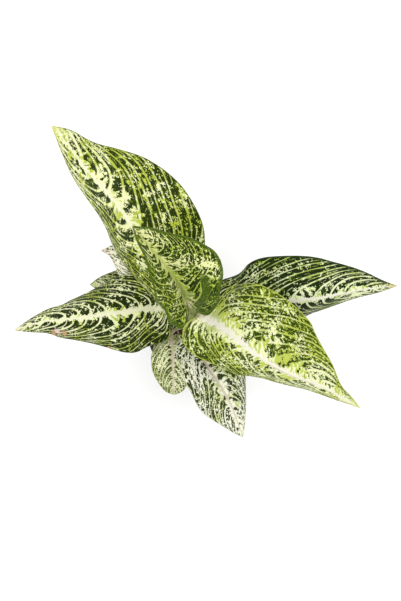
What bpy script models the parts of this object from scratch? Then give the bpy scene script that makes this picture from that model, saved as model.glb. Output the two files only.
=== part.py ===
"""A young Chinese evergreen in a plain nursery pot: pot, soil, cane and nine leaves.

Driving sizes are real ones in millimetres, and MM turns them into Blender's metres. The pot stands
on the plane z = 0 with its axis on Z, +X is the plant's right and -Y its front.
"""

import math
from dataclasses import dataclass

import bmesh
import bpy
import numpy as np
from mathutils import Vector, noise

MM = 0.001
CLEARANCE = 0.3

POT_HEIGHT = 92.0
POT_RIM_RADIUS = 50.0
POT_COLLAR_RADIUS = 48.4
POT_COLLAR_HEIGHT = 15.0
POT_SHOULDER_RADIUS = 46.4
POT_FOOT_RADIUS = 36.0
POT_WALL = 1.8
POT_LIP = 2.2
POT_SIDES = 48

DRAIN_HOLES = 6
DRAIN_RADIUS = 4.0
DRAIN_CIRCLE = 24.0
DRAIN_SIDES = 16

SOIL_LEVEL = 79.0
SOIL_MOUND = 3.5
SOIL_RINGS = 7
SOIL_ROUGHNESS = 1.3
SOIL_GRAIN = 9.0

CANE_FOOT = (-2.0, 3.0, 40.0)
CANE_BEND = (-4.0, 6.0, 102.0)
CANE_CROWN = (-9.0, 13.0, 148.0)
CANE_FOOT_RADIUS = 5.6
CANE_CROWN_RADIUS = 4.2
CANE_SIDES = 12
CANE_RINGS = 34
SCAR_SWELL = 0.5
SCAR_LENGTH = 1.5

BLADE_THICKNESS = 1.0
BLADE_ROWS = 18
BLADE_COLUMNS = 4
STALK_RINGS = 13
STALK_SIDES = 8
RIB_END = 0.82
RIB_COVER = 0.25
SHEATH_WIDTH = 1.6
STALK_LEAN = 0.6  # how far a stalk leaves the cane's direction at its foot

# One side of a blade laid flat, from the base lobe out to the tip. The body's points are shares of
# the blade's length and half width, the lobe's are shares of its reach back and of the half width.
LOBE = ((0.70, 0.13), (1.00, 0.38), (0.55, 0.68))
BODY = ((0.11, 0.86), (0.24, 0.99), (0.38, 0.98), (0.52, 0.85), (0.66, 0.61), (0.79, 0.35), (0.90, 0.15))
WIDEST = 0.3
SLOPE_STATIONS = (0.0, 0.3, 0.6, 1.0)
FILL_STATIONS = (0.0, 0.2, 0.4, 0.6, 0.78, 0.92)

VEIN_LAG = 1.7  # side veins leave the midrib this much nearer the base than they reach the edge
VEIN_ARC = 0.25
VEIN_REACH = 0.78


@dataclass(frozen=True)
class Leaf:
    """One leaf's driving sizes, in millimetres and degrees.

    Left and right are those of someone on the cane who looks out along the leaf.
    """

    name: str
    node: float  # height of the stalk's foot
    midrib: tuple  # points along the midrib, from the joint with the stalk to the tip
    width: float  # of each half at its widest
    left: tuple = (0, 0, 0, 0)  # how far the left half slopes up from the midrib, at the stations
    right: tuple = (0, 0, 0, 0)
    arch: float = 35.0  # how far each half bends down from the midrib to its widest edge
    taper: float = 1.0  # above 1, it narrows to the tip faster than the body's points
    left_fill: tuple = ()  # how wide the left half is beside the common outline, at the stations
    right_fill: tuple = ()
    lobes: tuple = (8, 8)  # how far the left and the right base lobe reach back
    flare: float = 15.0  # how far the base lobes have bent up off the stalk at their ends
    stalk: float = 2.6  # half width of the stalk
    foot: float = 5.0  # how far from the cane's axis the stalk's foot is, 0 on the cane's top
    wave: float = 1.5  # height of the edge's waves
    waves: float = 2.5
    colour: tuple = (0.16, 0.26, 0.05)


LEAVES = (
    Leaf(
        "leaf_youngest",
        146,
        ((-13, 22, 203), (-22, 37, 227), (-32, 49, 250), (-41, 58, 270), (-49, 66, 286), (-54, 72, 297)),
        42,
        left=(54, 52, 42, 43),
        right=(41, 30, 19, 6),
        left_fill=(1.05, 1.0, 0.95, 1.05, 0.85, 1.1),
        right_fill=(0.95, 1.05, 1.05, 0.95, 0.95, 1.3),
        taper=0.8,
        lobes=(10, 24),
        flare=35,
        foot=0,
        wave=1.0,
        colour=(0.15, 0.27, 0.04),
    ),
    Leaf(
        "leaf_front_right",
        143,
        ((4, 6, 186), (22, -6, 200), (47, -26, 204), (74, -42, 196), (105, -54, 180), (143, -73, 148)),
        54,
        left=(-22, 3, 0, 1),
        right=(-39, -60, -81, -68),
        left_fill=(1.15, 1.0, 1.0, 1.1, 0.8, 1.45),
        right_fill=(1.0, 0.75, 0.85, 0.8, 0.95, 1.2),
        taper=1.4,
        lobes=(2, 16),
        colour=(0.34, 0.43, 0.12),
    ),
    Leaf(
        "leaf_back_left",
        138,
        (
            (-18, 24, 188),
            (-45, 62, 213),
            (-61, 86, 215),
            (-77, 108, 211),
            (-101, 136, 199),
            (-118, 160, 186),
            (-132, 177, 172),
        ),
        57,
        left=(-66, -65, -69, -56),
        right=(28, 17, 4, -2),
        left_fill=(1.0, 1.0, 1.0, 0.85, 0.9, 1.2),
        right_fill=(0.6, 0.95, 1.0, 0.95, 0.9, 1.2),
        lobes=(8, 6),
        colour=(0.24, 0.33, 0.08),
    ),
    Leaf(
        "leaf_left",
        122,
        ((-28, 16, 145), (-54, 15, 157), (-85, 10, 160), (-123, 6, 148), (-143, 5, 138), (-171, -2, 120)),
        41,
        left=(-22, -32, -45, -36),
        right=(-26, -36, -50, -57),
        left_fill=(1.0, 1.1, 0.95, 0.8, 0.85, 1.1),
        right_fill=(1.05, 1.05, 1.0, 1.0, 0.95, 1.1),
        lobes=(2, 8),
        colour=(0.15, 0.22, 0.06),
    ),
    Leaf(
        "leaf_right",
        130,
        ((12, 20, 162), (39, 17, 177), (78, 20, 182), (112, 25, 172), (142, 32, 155), (179, 38, 132)),
        44,
        left=(-33, -6, -2, 0),
        right=(-41, -48, -78, -78),
        left_fill=(0.8, 0.95, 0.95, 1.0, 1.0, 0.85),
        right_fill=(1.0, 1.0, 1.0, 0.95, 0.85, 1.15),
        taper=0.9,
        lobes=(2, 12),
        colour=(0.10, 0.18, 0.04),
    ),
    Leaf(
        "leaf_front_pale",
        116,
        ((-3, -18, 142), (7, -37, 148), (16, -50, 146), (23, -62, 140), (30, -76, 131), (39, -100, 108)),
        29,
        left=(-6, -8, -36, -45),
        right=(16, 18, 7, 6),
        left_fill=(1.0, 1.0, 1.05, 0.95, 0.9, 0.95),
        right_fill=(1.0, 0.9, 1.0, 1.05, 1.0, 1.05),
        taper=0.8,
        lobes=(7, 12),
        stalk=2.0,
        wave=1.0,
        colour=(0.42, 0.48, 0.30),
    ),
    Leaf(
        "leaf_front_small",
        104,
        ((-27, -8, 128), (-25, -23, 136), (-25, -36, 132), (-24, -61, 98)),
        20,
        left=(-40, -10, 0, 0),
        right=(-10, -5, 0, 0),
        taper=0.5,
        lobes=(2, 2),
        stalk=1.6,
        wave=0.6,
        colour=(0.30, 0.36, 0.16),
    ),
    Leaf(
        "leaf_low_back",
        97,
        ((-21, 23, 114), (-56, 54, 129), (-77, 69, 124), (-92, 72, 114)),
        25,
        stalk=1.8,
        wave=0.8,
        colour=(0.62, 0.60, 0.42),
    ),
    Leaf(
        "leaf_low_left",
        89,
        ((-26, 16, 99), (-47, 26, 112), (-70, 36, 113), (-90, 41, 106), (-104, 42, 94)),
        27,
        stalk=1.8,
        wave=0.8,
        colour=(0.12, 0.18, 0.04),
    ),
)


def ease(t):
    """A smooth step from 0 to 1."""
    t = np.clip(t, 0.0, 1.0)
    return t * t * (3.0 - 2.0 * t)


def unit(vectors):
    """Vectors scaled to length one, along the last axis."""
    vectors = np.asarray(vectors, float)
    return vectors / np.linalg.norm(vectors, axis=-1, keepdims=True)


def bezier(points, t):
    """Points of the Bezier curve with these two to four control points."""
    level = [np.asarray(p, float) + np.zeros((len(t), 1)) for p in points]
    while len(level) > 1:
        level = [a + (b - a) * t[:, None] for a, b in zip(level, level[1:])]
    return level[0]


def through(points, count):
    """A smooth curve through the points, as count points at even spacing along it."""
    p = np.asarray(points, float)
    p = np.vstack([2 * p[0] - p[1], p, 2 * p[-1] - p[-2]])
    dense = []
    for before, start, end, after in zip(p, p[1:], p[2:], p[3:]):
        handle_out, handle_in = start + (end - before) / 6, end - (after - start) / 6
        dense.append(bezier((start, handle_out, handle_in, end), np.linspace(0, 1, 24)))
    dense = np.vstack(dense)
    run = np.concatenate([[0], np.cumsum(np.linalg.norm(np.diff(dense, axis=0), axis=1))])
    even = np.linspace(0, run[-1], count)
    return np.stack([np.interp(even, run, dense[:, k]) for k in range(p.shape[1])], axis=1)


def material(name, colour, roughness):
    """A plain dielectric finish."""
    made = bpy.data.materials.new(name)
    made.use_nodes = True
    shader = made.node_tree.nodes["Principled BSDF"]
    shader.inputs["Base Color"].default_value = (*colour, 1.0)
    shader.inputs["Roughness"].default_value = roughness
    made.diffuse_color = (*colour, 1.0)
    return made


def add_object(name, points, faces, finish=None):
    """A mesh object from points in millimetres."""
    mesh = bpy.data.meshes.new(name)
    mesh.from_pydata((np.asarray(points, float) * MM).tolist(), [], faces)
    mesh.validate()
    made = bpy.data.objects.new(name, mesh)
    bpy.context.scene.collection.objects.link(made)
    if finish:
        mesh.materials.append(finish)
        mesh.shade_smooth()
        mesh.set_sharp_from_angle(angle=math.radians(50))
    return made


def as_helper(obj):
    """Marks a cutter or a joined piece, which isn't a part of its own."""
    obj.hide_render = True
    obj.display_type = "WIRE"
    return obj


def add_boolean(obj, other, operation):
    """Joins the other object to this one, or cuts it out."""
    modifier = obj.modifiers.new(f"{operation.title()} {other.name}", "BOOLEAN")
    modifier.object = other
    modifier.operation = operation
    modifier.solver = "EXACT"


def skin(name, rings, finish=None):
    """A closed tube through rings of points that all have the same number of points."""
    rings = np.asarray(rings, float)
    count, sides = rings.shape[:2]
    faces = [tuple(reversed(range(sides)))]
    for row in range(count - 1):
        for k in range(sides):
            here, after = row * sides + k, row * sides + (k + 1) % sides
            faces.append((here, after, after + sides, here + sides))
    faces.append(tuple(range((count - 1) * sides, count * sides)))
    return add_object(name, rings.reshape(-1, 3), faces, finish)


def spun(name, profile, sides, finish=None):
    """A closed solid of revolution about Z. The profile runs from the axis back to the axis."""
    shape = bmesh.new()
    corners = [shape.verts.new((r * MM, 0.0, z * MM)) for r, z in profile]
    edges = [shape.edges.new(pair) for pair in zip(corners, corners[1:])]
    bmesh.ops.spin(
        shape,
        geom=corners + edges,
        axis=(0, 0, 1),
        cent=(0, 0, 0),
        steps=sides,
        angle=2 * math.pi,
        use_merge=True,
    )
    bmesh.ops.remove_doubles(shape, verts=shape.verts, dist=0.01 * MM)
    bmesh.ops.recalc_face_normals(shape, faces=shape.faces)
    mesh = bpy.data.meshes.new(name)
    shape.to_mesh(mesh)
    shape.free()
    made = bpy.data.objects.new(name, mesh)
    bpy.context.scene.collection.objects.link(made)
    if finish:
        mesh.materials.append(finish)
        mesh.shade_smooth()
        mesh.set_sharp_from_angle(angle=math.radians(35))
    return made


def inner_radius(height):
    """The pot's inside radius below its collar."""
    shoulder = POT_HEIGHT - POT_COLLAR_HEIGHT
    share = (height - POT_WALL) / (shoulder - POT_WALL)
    foot = POT_FOOT_RADIUS - POT_WALL
    return foot + (POT_SHOULDER_RADIUS - POT_WALL - foot) * share


def build_pot():
    """A tapered pot with a stepped collar, a rolled rim and a ring of drain holes."""
    shoulder = POT_HEIGHT - POT_COLLAR_HEIGHT
    collar_inside = POT_COLLAR_RADIUS - POT_WALL
    lip_middle = POT_HEIGHT - POT_LIP
    profile = (
        (0.0, 0.0),
        (POT_FOOT_RADIUS - 1.5, 0.0),
        (POT_FOOT_RADIUS - 0.4, 0.5),
        (POT_FOOT_RADIUS, 1.6),
        (POT_SHOULDER_RADIUS, shoulder - 2.0),
        (POT_COLLAR_RADIUS, shoulder),
        (POT_COLLAR_RADIUS + 0.4, lip_middle - 0.6),
        (POT_RIM_RADIUS - 0.3, lip_middle),
        (POT_RIM_RADIUS, POT_HEIGHT - 1.1),
        (POT_RIM_RADIUS - 0.3, POT_HEIGHT - 0.3),
        (POT_RIM_RADIUS - 1.0, POT_HEIGHT),
        (collar_inside + 0.5, POT_HEIGHT),
        (collar_inside, POT_HEIGHT - 0.8),
        (collar_inside - 0.2, shoulder + 1.2),
        (inner_radius(shoulder - 1.0), shoulder - 1.0),
        (inner_radius(POT_WALL + 1.0), POT_WALL + 1.0),
        (inner_radius(POT_WALL) - 1.0, POT_WALL),
        (0.0, POT_WALL),
    )
    pot = spun("pot", profile, POT_SIDES, material("Pot plastic", (0.045, 0.047, 0.05), 0.55))
    for k in range(DRAIN_HOLES):
        turn = 2 * math.pi * (k + 0.5) / DRAIN_HOLES
        centre = (DRAIN_CIRCLE * math.cos(turn), DRAIN_CIRCLE * math.sin(turn))
        bpy.ops.mesh.primitive_cylinder_add(
            vertices=DRAIN_SIDES,
            radius=DRAIN_RADIUS * MM,
            depth=4 * POT_WALL * MM,
            location=(centre[0] * MM, centre[1] * MM, 0),
        )
        hole = as_helper(bpy.context.active_object)
        hole.name = f"drain_cutter_{k + 1}"
        add_boolean(pot, hole, "DIFFERENCE")
    return pot


def build_soil(cane_room):
    """Potting mix that fills the pot to below its rim, rough on top, with a hole for the cane."""
    radius = inner_radius(SOIL_LEVEL - 4.0) - CLEARANCE
    shoulder_radius = inner_radius(SOIL_LEVEL) - CLEARANCE
    bottom = POT_WALL + CLEARANCE
    top = [
        (shoulder_radius * (1 - k / SOIL_RINGS), SOIL_LEVEL + SOIL_MOUND * ease(k / SOIL_RINGS))
        for k in range(SOIL_RINGS)
    ]
    profile = [
        (0.0, bottom),
        (inner_radius(bottom) - CLEARANCE - 1.2, bottom),
        (inner_radius(bottom + 1.2) - CLEARANCE, bottom + 1.2),
        (radius, SOIL_LEVEL - 4.0),
        (shoulder_radius - 0.8, SOIL_LEVEL - 1.2),
        *[(r - 1.0, z) for r, z in top[:1]],
        *top[1:],
        (0.0, SOIL_LEVEL + SOIL_MOUND),
    ]
    soil = spun("soil", profile, POT_SIDES, material("Potting mix", (0.035, 0.022, 0.013), 0.95))
    for vertex in soil.data.vertices:
        if vertex.co.z > (SOIL_LEVEL - 0.5) * MM:
            place = Vector((vertex.co.x, vertex.co.y, 0.0)) / (SOIL_GRAIN * MM)
            lumps = noise.noise(place) + 0.5 * noise.noise(place * 2.3)
            vertex.co.z += SOIL_ROUGHNESS * MM * lumps
    add_boolean(soil, cane_room, "DIFFERENCE")
    return soil


def cane_centre(height):
    """The cane's axis at a height, and its direction there. Above its top the axis stays there."""
    t = np.linspace(0, 1, 201)
    axis = bezier((CANE_FOOT, CANE_BEND, CANE_CROWN), t)
    centre = np.array([np.interp(height, axis[:, 2], axis[:, k]) for k in range(2)] + [height])
    below = np.array([np.interp(height - 9.0, axis[:, 2], axis[:, k]) for k in range(2)] + [height - 9.0])
    return centre, unit(centre - below)


def cane_rings(grown):
    """Rings of points up the cane, whose surface is moved out by grown."""
    t = np.linspace(0, 1, CANE_RINGS)
    axis = bezier((CANE_FOOT, CANE_BEND, CANE_CROWN), t)
    tangents = unit(np.gradient(axis, axis=0))
    across = unit(np.cross(tangents, (0.0, 1.0, 0.0)))
    forward = np.cross(tangents, across)
    radii = CANE_FOOT_RADIUS + (CANE_CROWN_RADIUS - CANE_FOOT_RADIUS) * t + grown
    for leaf in LEAVES:
        radii += SCAR_SWELL * np.exp(-(((axis[:, 2] - leaf.node + 2.0) / SCAR_LENGTH) ** 2))
    radii[-1] -= 1.2
    axis[0] -= tangents[0] * grown
    axis[-1] += tangents[-1] * grown
    turn = np.linspace(0, 2 * math.pi, CANE_SIDES, endpoint=False)[:, None]
    return [
        centre + radius * (np.cos(turn) * a + np.sin(turn) * f)
        for centre, radius, a, f in zip(axis, radii, across, forward)
    ]


class Spine:
    """The line of one leaf from the cane to its tip, with a frame at each point of it.

    Distances run from the joint: below zero on the stalk, above it on the midrib. The side vectors
    point to the leaf's right and the normals out of its upper face.
    """

    def __init__(self, leaf):
        midrib = through(leaf.midrib, 160)
        ahead = unit(np.gradient(midrib, axis=0))
        strides = np.linalg.norm(np.diff(midrib, axis=0), axis=1)
        steps = np.concatenate([[0], np.cumsum(strides)])
        self.length = steps[-1]

        stalk = self.stalk_line(leaf, midrib[0], ahead[0])
        run = np.concatenate([[0], np.cumsum(np.linalg.norm(np.diff(stalk, axis=0), axis=1))])
        self.stalk_length = run[-1]
        self.places = np.concatenate([run[:-1] - run[-1], steps])
        self.points = np.vstack([stalk[:-1], midrib])
        self.ahead = unit(np.gradient(self.points, self.places, axis=0))

        outward = unit((midrib[0] - stalk[0]) * (1, 1, 0))
        clasp = np.array([outward[1], -outward[0], 0.0])
        over = unit(np.cross(ahead, (0.0, 0.0, 1.0)))
        turn = ease(1 + (run[:-1] - run[-1]) / run[-1])[:, None]
        side = np.vstack([clasp + (over[0] - clasp) * turn, over])
        side = unit(side - np.sum(side * self.ahead, axis=1, keepdims=True) * self.ahead)
        self.sides = side
        self.normals = np.cross(side, self.ahead)

    @staticmethod
    def stalk_line(leaf, joint, ahead):
        """The stalk: up beside the cane, or on from its top, then over into the midrib."""
        centre, up = cane_centre(leaf.node)
        outward = unit((joint - centre) * (1, 1, 0))
        start = centre + outward * leaf.foot
        reach = np.linalg.norm(joint - start)
        lean = STALK_LEAN if leaf.foot else 0.0
        first = start + (up + outward * lean) * 0.35 * reach
        last = joint - ahead * 0.22 * reach
        return bezier((start, first, last, joint), np.linspace(0, 1, 60))

    def at(self, places):
        """Points, directions ahead, sides and normals at these distances from the joint.

        Behind the joint the midrib is taken to run straight on, as the base lobes do.
        """
        found = []
        for values in (self.points, self.ahead, self.sides, self.normals):
            found.append(np.stack([np.interp(places, self.places, values[:, k]) for k in range(3)], -1))
        return found[0], unit(found[1]), unit(found[2]), unit(found[3])


def half_outline(leaf, length, lobe, fill):
    """One half of a blade laid flat: its edge from the joint round the lobe and out to the tip."""
    fill = fill or (1.0,) * len(FILL_STATIONS)
    points = [(0.0, 0.0)]
    points += [(-lobe * back, leaf.width * fill[0] * out) for back, out in LOBE]
    for along, out in BODY:
        share = out ** (leaf.taper if along > WIDEST else 1.0)
        share *= np.interp(along, FILL_STATIONS, fill)
        points.append((length * along, leaf.width * share))
    return through([*points, (length, 0.0)], BLADE_ROWS + 1)[1:-1]


def vein_starts(length):
    """How far along the midrib each row of the blade starts."""
    return length * np.linspace(0, 1, BLADE_ROWS + 1)[1:-1] ** VEIN_LAG


def flat_blade(leaf, length):
    """The blade laid flat, as rows of points along its side veins.

    Returns the distances along the midrib and out from it, each rows by columns, right side
    positive, without the joint and the tip, where all the points of a row would fall together.
    """
    start = vein_starts(length)[:, None]
    out = np.linspace(0, 1, BLADE_COLUMNS + 1)
    halves = []
    for lobe, fill in zip(leaf.lobes, (leaf.left_fill, leaf.right_fill)):
        edge = half_outline(leaf, length, lobe, fill)
        along = start + (edge[:, :1] - start) * (2 * VEIN_ARC * out * (1 - out) + out**2)
        across = edge[:, 1:] * (2 * VEIN_REACH * out * (1 - out) + out**2)
        halves.append((along, across))
    (left_along, left_across), (right_along, right_across) = halves
    return (
        np.hstack([left_along[:, :0:-1], right_along]),
        np.hstack([-left_across[:, :0:-1], right_across]),
    )


def slopes(stations, share):
    """Slopes at these shares of the length, in radians, smooth between those at the stations."""
    curve = through(tuple(zip(SLOPE_STATIONS, stations)), 80)
    return np.radians(np.interp(share, curve[:, 0], curve[:, 1]))


def bent_blade(leaf, spine, along, across):
    """Puts points of the flat blade in their places on the grown leaf."""
    middle, ahead, side, normal = spine.at(np.maximum(along, 0.0))
    back = np.minimum(along, 0.0)
    curl = math.radians(leaf.flare) / max(leaf.lobes)
    lift = (back * curl)[..., None]
    middle = middle + (ahead * np.sin(lift) + normal * (1 - np.cos(lift))) / curl
    normal = normal * np.cos(lift) - ahead * np.sin(lift)

    sign = np.where(across < 0, -1.0, 1.0)
    share = along / spine.length
    arch = math.radians(leaf.arch)
    start = np.where(across < 0, slopes(leaf.left, share), slopes(leaf.right, share)) + arch / 2
    bend = arch / leaf.width
    slope = start - bend * np.abs(across)
    out = (np.sin(start) - np.sin(slope)) / bend
    up = (np.cos(slope) - np.cos(start)) / bend
    ripple = np.sin(2 * math.pi * leaf.waves * share + sign)
    up = up + leaf.wave * ripple * (across / leaf.width) ** 2
    return middle + side * (sign * out)[..., None] + normal * up[..., None]


def blade_object(leaf, spine):
    """The blade as a thin closed shell, both faces split into triangles alike."""
    along, across = flat_blade(leaf, spine.length)
    points = bent_blade(leaf, spine, along, across)
    rows, columns = along.shape
    ends = spine.at(np.array([0.0, spine.length]))[0]
    faces = []
    for row in range(rows - 1):
        for k in range(columns - 1):
            a, b = row * columns + k, row * columns + k + 1
            c, d = b + columns, a + columns
            faces += [(a, b, c), (a, c, d)] if k < columns // 2 else [(a, b, d), (b, c, d)]
    joint, tip = rows * columns, rows * columns + 1
    last = (rows - 1) * columns
    for k in range(columns - 1):
        faces.append((joint, k + 1, k))
        faces.append((tip, last + k, last + k + 1))
    made = add_object(f"{leaf.name}_blade", np.vstack([points.reshape(-1, 3), ends]), faces)
    shell = made.modifiers.new("Thickness", "SOLIDIFY")
    shell.thickness = BLADE_THICKNESS * MM
    shell.offset = 0.0
    return as_helper(made)


def stalk_object(leaf, spine, finish):
    """The stalk with its clasping sheath, running on under the blade as the midrib."""
    down = spine.stalk_length
    stalk_places = -down * (1 - np.linspace(0, 1, STALK_RINGS, endpoint=False))
    rows = vein_starts(spine.length)
    places = np.concatenate([stalk_places, [0.0], rows[rows < RIB_END * spine.length]])
    points, _, sides, normals = spine.at(places)

    share = np.clip(1 + places / down, 0, 1)
    sheath = np.sin(np.pi * np.clip(share / 0.75, 0, 1)) * (share < 0.75)
    thin = 1 - 0.8 * np.clip(places / (RIB_END * spine.length), 0, 1)
    half_width = leaf.stalk * (0.95 + (SHEATH_WIDTH - 1) * sheath) * thin
    half_depth = leaf.stalk * 0.8 * thin
    sink = (half_depth - RIB_COVER) * ease((places + 6.0) / 8.0)
    turn = np.linspace(0, 2 * math.pi, STALK_SIDES, endpoint=False)[:, None]
    rings = [
        point - normal * low + side * wide * np.cos(turn) - normal * deep * np.sin(turn)
        for point, side, normal, low, wide, deep in zip(
            points, sides, normals, sink, half_width, half_depth
        )
    ]
    return skin(leaf.name, rings, finish)


def build_leaf(leaf, cane_room):
    """One leaf: stalk and midrib joined to the blade, and clear of the cane it clasps."""
    spine = Spine(leaf)
    made = stalk_object(leaf, spine, material(f"{leaf.name} green", leaf.colour, 0.45))
    add_boolean(made, blade_object(leaf, spine), "UNION")
    add_boolean(made, cane_room, "DIFFERENCE")
    return made


def main():
    """Builds the plant, the pot and the soil."""
    for obj in list(bpy.data.objects):
        bpy.data.objects.remove(obj)
    cane_room = as_helper(skin("cane_room", cane_rings(CLEARANCE)))
    build_pot()
    build_soil(cane_room)
    skin("cane", cane_rings(0.0), material("Cane", (0.42, 0.45, 0.24), 0.5))
    for leaf in LEAVES:
        build_leaf(leaf, cane_room)


main()
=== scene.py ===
"""A potted Chinese evergreen dressed for its picture: variegated leaves, cane, mix and pot.

Driving sizes are real ones in millimetres, in the frame of the solids: the pot stands on the plane
z = 0 with its axis on Z, +X is the plant's right and -Y its front.
"""

import logging
import math
from dataclasses import dataclass, field
from enum import Enum
from typing import Callable, Iterable

import bpy
import numpy as np
from mathutils import Euler, Matrix, Vector, noise


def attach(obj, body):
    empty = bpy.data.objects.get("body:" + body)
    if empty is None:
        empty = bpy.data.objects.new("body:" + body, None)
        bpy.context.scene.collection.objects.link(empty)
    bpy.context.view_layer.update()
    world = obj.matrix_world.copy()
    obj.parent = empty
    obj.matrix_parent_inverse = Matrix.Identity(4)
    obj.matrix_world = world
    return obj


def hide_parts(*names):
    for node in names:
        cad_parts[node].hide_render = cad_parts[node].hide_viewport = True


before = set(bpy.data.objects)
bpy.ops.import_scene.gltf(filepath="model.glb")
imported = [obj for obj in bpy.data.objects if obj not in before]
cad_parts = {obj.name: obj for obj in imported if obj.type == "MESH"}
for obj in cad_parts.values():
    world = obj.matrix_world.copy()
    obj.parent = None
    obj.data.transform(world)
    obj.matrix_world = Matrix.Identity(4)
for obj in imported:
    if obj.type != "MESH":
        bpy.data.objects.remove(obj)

LOG = logging.getLogger("evergreen")
MM = 0.001
LIGHT = 1.24  # how brightly a white sheet shows under the lamps

Colour = tuple[float, float, float]
Point = tuple[float, float, float]


def shown(red: int, green: int, blue: int) -> Colour:
    """The linear colour of a surface that shows in the studio as this display colour.

    Args:
        red: Its red part, 0 to 255.
        green: Its green part.
        blue: Its blue part.

    Returns:
        The three linear parts, 0 to 1.
    """
    parts = []
    for part in (red, green, blue):
        share = part / 255
        bright = share / 12.92 if share <= 0.04045 else ((share + 0.055) / 1.055) ** 2.4
        parts.append(bright / LIGHT)
    return tuple(parts)


WASH = shown(176, 188, 130)  # what pales a blade's lower face


def between(first: Colour, second: Colour, share: float) -> Colour:
    """The colour this share of the way from the first to the second."""
    return tuple(a + (b - a) * share for a, b in zip(first, second))


def seen(colour: Colour, under: bool, share: float = 0.45) -> Colour:
    """A colour of a blade's upper face, or that colour washed out for the lower face."""
    return between(colour, WASH, share) if under else colour


def shades(*displayed: tuple[int, int, int]) -> tuple[Colour, ...]:
    """The linear colours of surfaces that show as these display colours."""
    return tuple(shown(*parts) for parts in displayed)


class Value:
    """A number that changes over a surface. Each operator on it adds one Math node."""

    def __init__(self, graph: "Graph", socket: bpy.types.NodeSocket) -> None:
        """Wraps one output socket of a graph's node."""
        self.graph = graph
        self.socket = socket

    def __add__(self, other: "Value | float") -> "Value":
        """The sum."""
        return self.graph.maths("ADD", self, other)

    def __radd__(self, other: float) -> "Value":
        """The sum, with the number first."""
        return self.graph.maths("ADD", other, self)

    def __sub__(self, other: "Value | float") -> "Value":
        """The difference."""
        return self.graph.maths("SUBTRACT", self, other)

    def __rsub__(self, other: float) -> "Value":
        """The difference, with the number first."""
        return self.graph.maths("SUBTRACT", other, self)

    def __mul__(self, other: "Value | float") -> "Value":
        """The product."""
        return self.graph.maths("MULTIPLY", self, other)

    def __rmul__(self, other: float) -> "Value":
        """The product, with the number first."""
        return self.graph.maths("MULTIPLY", other, self)

    def __truediv__(self, other: "Value | float") -> "Value":
        """The quotient."""
        return self.graph.maths("DIVIDE", self, other)

    def __rtruediv__(self, other: float) -> "Value":
        """The quotient, with the number first."""
        return self.graph.maths("DIVIDE", other, self)

    def __abs__(self) -> "Value":
        """The size without its sign."""
        return self.graph.maths("ABSOLUTE", self)

    def over(self, limit: float) -> "Value":
        """1 where it is over the limit, and 0 elsewhere."""
        return self.graph.maths("GREATER_THAN", self, limit)

    def at_least(self, limit: float) -> "Value":
        """The larger of it and the limit."""
        return self.graph.maths("MAXIMUM", self, limit)

    def off_whole(self) -> "Value":
        """How far it is from the nearest whole number, 0 to 0.5."""
        return abs(self.graph.maths("FRACT", self + 0.5) - 0.5)

    def rise(self, low: "Value | float", high: "Value | float") -> "Value":
        """A smooth step.

        Args:
            low: Where it leaves 0.
            high: Where it reaches 1.

        Returns:
            The step, 0 to 1.
        """
        made = self.graph.node(
            "ShaderNodeMapRange",
            {"interpolation_type": "SMOOTHSTEP"},
            {"Value": self, "From Min": low, "From Max": high},
        )
        return Value(self.graph, made.outputs[0])


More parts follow.
